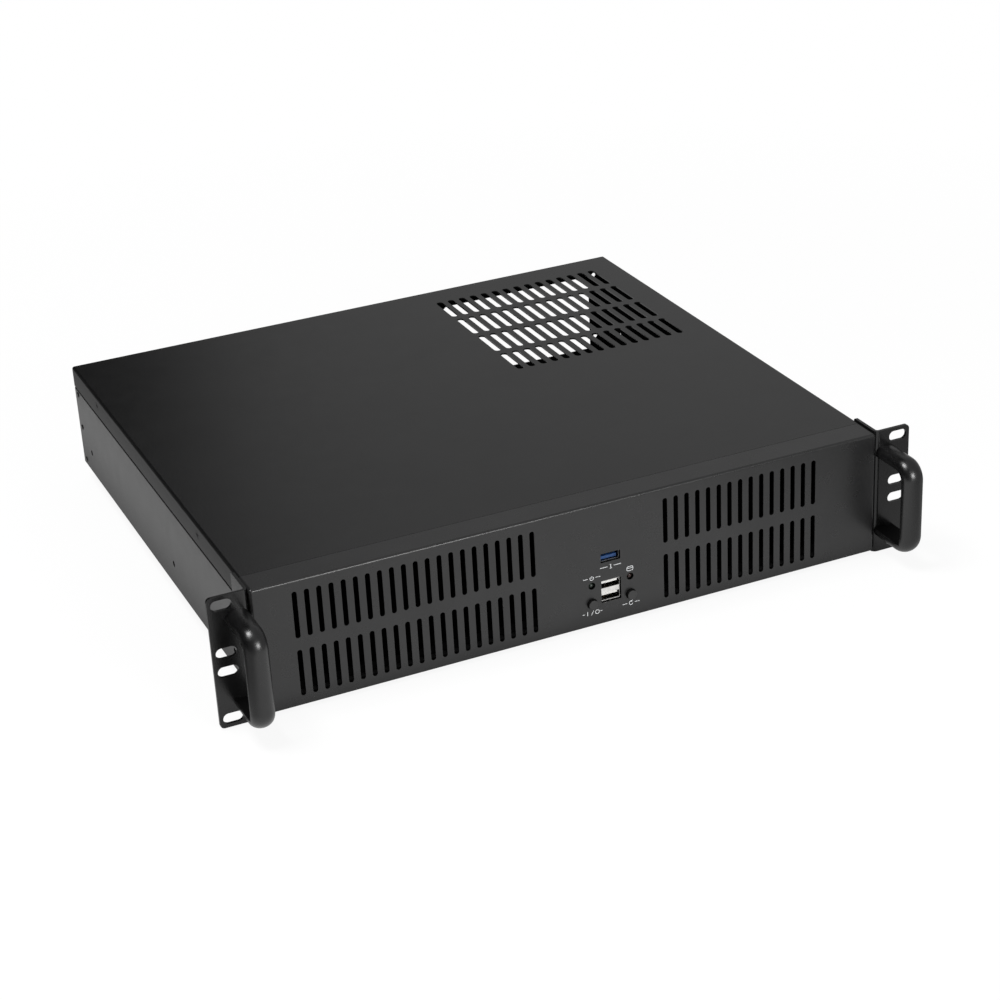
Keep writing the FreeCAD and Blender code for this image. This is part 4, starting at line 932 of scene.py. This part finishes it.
def contacts(bm, lo, hi, side, port):
    """Bent strips on the side of a tongue that faces the hollow: up for 1, down for -1."""
    level = lo.z + port.tongue_reach if side > 0 else hi.z - port.tongue_reach
    front = lo.y + CONTACT_SETBACK
    bends = (front, front + CONTACT_RAMP, front + CONTACT_CREST * port.contact_length,
             front + port.contact_length)
    x_mid = (lo.x + hi.x) / 2
    for i in range(port.contact_count):
        x = x_mid + (i - (port.contact_count - 1) / 2) * port.contact_pitch
        rows = []
        for y, rise in zip(bends, CONTACT_RISE):
            outer = level + side * rise * port.contact_thickness
            inner = level - side * CONTACT_ROOT
            half = port.contact_width / 2
            corners = ((-half, outer), (half, outer), (half, inner), (-half, inner))
            rows.append([bm.verts.new((x + dx, y, z)) for dx, z in corners])
        for a, b in zip(rows, rows[1:]):
            for k in range(4):
                n = (k + 1) % 4
                bm.faces.new((a[k], b[k], b[n], a[n]))
        bm.faces.new(rows[0])
        bm.faces.new(rows[-1])


# Distances from the middle over which the floor turns plain white to the camera
WHITE_FROM = (0.45, 0.95)
# Zones of the floor as reflections see it: where a change begins and where it ends, in metres
FRONT_END = (-0.200, -0.172)
RIGHT_FADE = (0.14, 0.31)
LEFT_FADE = (-0.30, -0.235)
SIDE_RISE = (0.219, 0.243)
SIDE_FALL = (0.25, 0.30)
BACK_LEFT = (-0.213, -0.198)
BACK_START = (0.214, 0.240)
ASIDE_START = (0.25, 0.30)
ASIDE_FRONT = (-0.10, -0.04)
# Levels of the floor beside the case: painted shadow under its edge, the painted light strip, and beyond the
# strip
UNDER_LEVEL = 0.27
STRIP_LEVEL = 0.56
DARK_LEVEL = 0.1
# Walls as reflections see them: where the light wall begins and rises, as sines of the angle from its edge
WALL_STEP = (-0.02, 0.02)
WALL_RISE = (0.0, 0.22)
# Pale patch ahead on the left: its direction, and the cosines of the angles where it begins and is full
PATCH_PLACE = (-0.45, -0.80, 0.35)
PATCH_RISE = (0.82, 0.94)
# Softboxes: name, place, width in metres and power in watts, and the point that they look at
SOFTBOXES = (("overhead", (-0.82, -0.04, 2.18), 0.85, 40.0), ("front", (0.30, -1.60, 0.66), 0.55, 13.0))
LAMP_AIM = (0.0, -0.05, 0.04)
# Camera: width of its sensor in millimetres, and the nearest and farthest that it sees in metres
SENSOR_WIDTH = 36.0
CLIPPING = (0.05, 40.0)


class StageOperator(bpy.types.Operator):
    """Floor, background, lamps and the camera"""
    bl_idname = "server_case.stage"
    bl_label = "Stage"

    def execute(self, context):
        stage = context.scene.server_case_stage
        context.scene.view_settings.view_transform = "Standard"
        floor(stage)
        world(stage)
        lamps()
        camera(stage)
        return {"FINISHED"}


def floor(stage):
    """Large pale floor that keeps the shadow of the case and turns plain white away from it; in reflections
    it glows with painted shadow near the case and a painted light strip beside it.
    """
    half = stage.floor_size / 2
    mesh = bpy.data.meshes.new("floor")
    z = -stage.gap
    corners = [(-half, -half, z), (half, -half, z), (half, half, z), (-half, half, z)]
    mesh.from_pydata(corners, [], [(0, 1, 2, 3)])
    ground = bpy.data.objects.new("floor", mesh)
    bpy.context.scene.collection.objects.link(ground)
    shader = Shader("floor_white")
    shader.set(Base_Color=(0.9, 0.9, 0.9, 1.0), Roughness=0.9, Specular_IOR_Level=0.0)
    path = shader.new("ShaderNodeLightPath")
    glow = shader.new("ShaderNodeEmission")
    dim = shader.new("ShaderNodeEmission")
    far = shader.vector("LENGTH", shader.place).outputs["Value"]
    plain = shader.remap(far, stage.shadow_share, 1.0, *WHITE_FROM)
    split = shader.new("ShaderNodeSeparateXYZ")
    shader.link(shader.place, split.inputs["Vector"])
    x, y = split.outputs["X"], split.outputs["Y"]
    out = shader.math("ABSOLUTE", x, 0.0)
    beside = shader.math("MINIMUM", shader.remap(out, UNDER_LEVEL, STRIP_LEVEL, *SIDE_RISE),
                         shader.remap(out, STRIP_LEVEL, DARK_LEVEL, *SIDE_FALL))
    back = shader.math("MULTIPLY", shader.remap(x, 0.0, 1.0, *BACK_LEFT),
                       shader.remap(y, 0.0, 1.0, *BACK_START))
    aside = shader.math("MULTIPLY", shader.remap(x, 0.0, 1.0, *ASIDE_START),
                        shader.remap(y, 0.0, 1.0, *ASIDE_FRONT))
    beyond = shader.math("MULTIPLY", shader.math("MAXIMUM", back, aside), stage.back_level)
    beside = shader.math("MAXIMUM", beside, beyond)
    before = shader.math("MINIMUM", shader.remap(x, stage.left_level, stage.front_level, *LEFT_FADE),
                         shader.remap(x, stage.front_level, stage.right_level, *RIGHT_FADE))
    # Painted shadow in reflections: close ahead of the bezel the floor takes the dim level from under the
    # case instead of the bright front level.
    front = shader.remap(y, 1.0, 0.0, *FRONT_END)
    before = shader.math("MULTIPLY", before, front)
    beside = shader.math("MULTIPLY", beside, shader.math("SUBTRACT", 1.0, front))
    shader.link(shader.math("ADD", before, beside), dim.inputs["Strength"])
    seen = shader.math("MAXIMUM", path.outputs["Is Camera Ray"], path.outputs["Is Transmission Ray"])
    whitened = shader.mix(shader.math("MULTIPLY", seen, plain), shader.surface.outputs["BSDF"],
                          glow.outputs["Emission"])
    final = shader.mix(path.outputs["Is Glossy Ray"], whitened, dim.outputs["Emission"])
    shader.link(final, shader.output.inputs["Surface"])
    mesh.materials.append(shader.material)


def world(stage):
    """White to the camera, studio walls in reflections, soft even light for everything else."""
    studio = bpy.data.worlds.new("studio")
    bpy.context.scene.world = studio
    studio.use_nodes = True
    graph = Graph(studio.node_tree)
    path = graph.new("ShaderNodeLightPath")
    place = graph.new("ShaderNodeTexCoord").outputs["Generated"]
    turn = stage.wall_edge
    across = graph.vector("DOT_PRODUCT", place, (math.cos(turn), -math.sin(turn), 0.0)).outputs["Value"]
    step = graph.remap(across, 0.0, 1.0, *WALL_STEP)
    wall = graph.math("MULTIPLY", step, graph.remap(across, stage.middle_wall, stage.light_wall, *WALL_RISE))
    nearness = graph.vector("DOT_PRODUCT", place, Vector(PATCH_PLACE).normalized()).outputs["Value"]
    patch = graph.remap(nearness, 0.0, stage.front_wall, *PATCH_RISE)
    soft, walls, white = [graph.new("ShaderNodeBackground") for _ in range(3)]
    for node in (soft, walls, white):
        node.inputs["Color"].default_value = (1, 1, 1, 1)
    soft.inputs["Strength"].default_value = stage.sky
    graph.link(graph.math("MAXIMUM", wall, patch), walls.inputs["Strength"])
    mirrored = graph.mix(path.outputs["Is Glossy Ray"], soft.outputs["Background"],
                         walls.outputs["Background"])
    seen = graph.mix(path.outputs["Is Camera Ray"], mirrored, white.outputs["Background"])
    graph.link(seen, graph.new("ShaderNodeOutputWorld").inputs["Surface"])


def softbox(name, place, aim, size, power):
    """Square area lamp that looks at a point."""
    data = bpy.data.lights.new(name, "AREA")
    data.energy = power
    data.size = size
    lamp = bpy.data.objects.new(name, data)
    lamp.location = place
    lamp.rotation_euler = (Vector(aim) - Vector(place)).to_track_quat("-Z", "Y").to_euler()
    bpy.context.scene.collection.objects.link(lamp)


def lamps():
    """Two softboxes: one overhead, one low on the right in front."""
    for name, place, size, power in SOFTBOXES:
        softbox(name, place, LAMP_AIM, size, power)


def camera(stage):
    """Camera at the photograph's place, from its angles, distance and target."""
    data = bpy.data.cameras.new("camera")
    data.sensor_width = SENSOR_WIDTH
    data.lens = stage.lens * data.sensor_width
    eye = bpy.data.objects.new("camera", data)
    a = stage.azimuth
    e = stage.elevation
    back = Vector((math.sin(a) * math.cos(e), -math.cos(a) * math.cos(e), math.sin(e)))
    turn = (-back).to_track_quat("-Z", "Y").to_matrix() @ Matrix.Rotation(stage.roll, 3, "Z")
    eye.matrix_world = Matrix.Translation(Vector(stage.target) + back * stage.distance) @ turn.to_4x4()
    data.clip_start, data.clip_end = CLIPPING
    bpy.context.scene.collection.objects.link(eye)
    bpy.context.scene.camera = eye


class CasePanel(bpy.types.Panel):
    """Settings and steps of the server case"""
    bl_idname = "VIEW3D_PT_server_case"
    bl_label = "Server Case"
    bl_space_type = "VIEW_3D"
    bl_region_type = "UI"
    bl_category = "Server Case"

    def draw(self, context):
        for key, _ in SETTINGS:
            group = getattr(context.scene, key)
            box = self.layout.box()
            for name in group.__annotations__:
                box.prop(group, name)
        for operator in OPERATORS:
            self.layout.operator(operator.bl_idname)


SETTINGS = (
    ("server_case_coat", CoatSettings),
    ("server_case_plastic", PlasticSettings),
    ("server_case_screws", ScrewSettings),
    ("server_case_marks", MarkSettings),
    ("server_case_ports", PortSettings),
    ("server_case_stage", StageSettings),
)
OPERATORS = (CoatOperator, PlasticOperator, FittingsOperator, ScrewOperator, MarkOperator, ContactOperator,
             StageOperator)


def register():
    for key, group in SETTINGS:
        bpy.utils.register_class(group)
        setattr(bpy.types.Scene, key, PointerProperty(type=group))
    for operator in OPERATORS:
        bpy.utils.register_class(operator)
    bpy.utils.register_class(CasePanel)


def unregister():
    bpy.utils.unregister_class(CasePanel)
    for operator in reversed(OPERATORS):
        bpy.utils.unregister_class(operator)
    for key, group in reversed(SETTINGS):
        delattr(bpy.types.Scene, key)
        bpy.utils.unregister_class(group)


def main():
    register()
    bpy.ops.server_case.coat()
    bpy.ops.server_case.plastic()
    bpy.ops.server_case.fittings()
    bpy.ops.server_case.screws()
    bpy.ops.server_case.marks()
    bpy.ops.server_case.contacts()
    bpy.ops.server_case.stage()


if __name__ == "__main__":
    main()
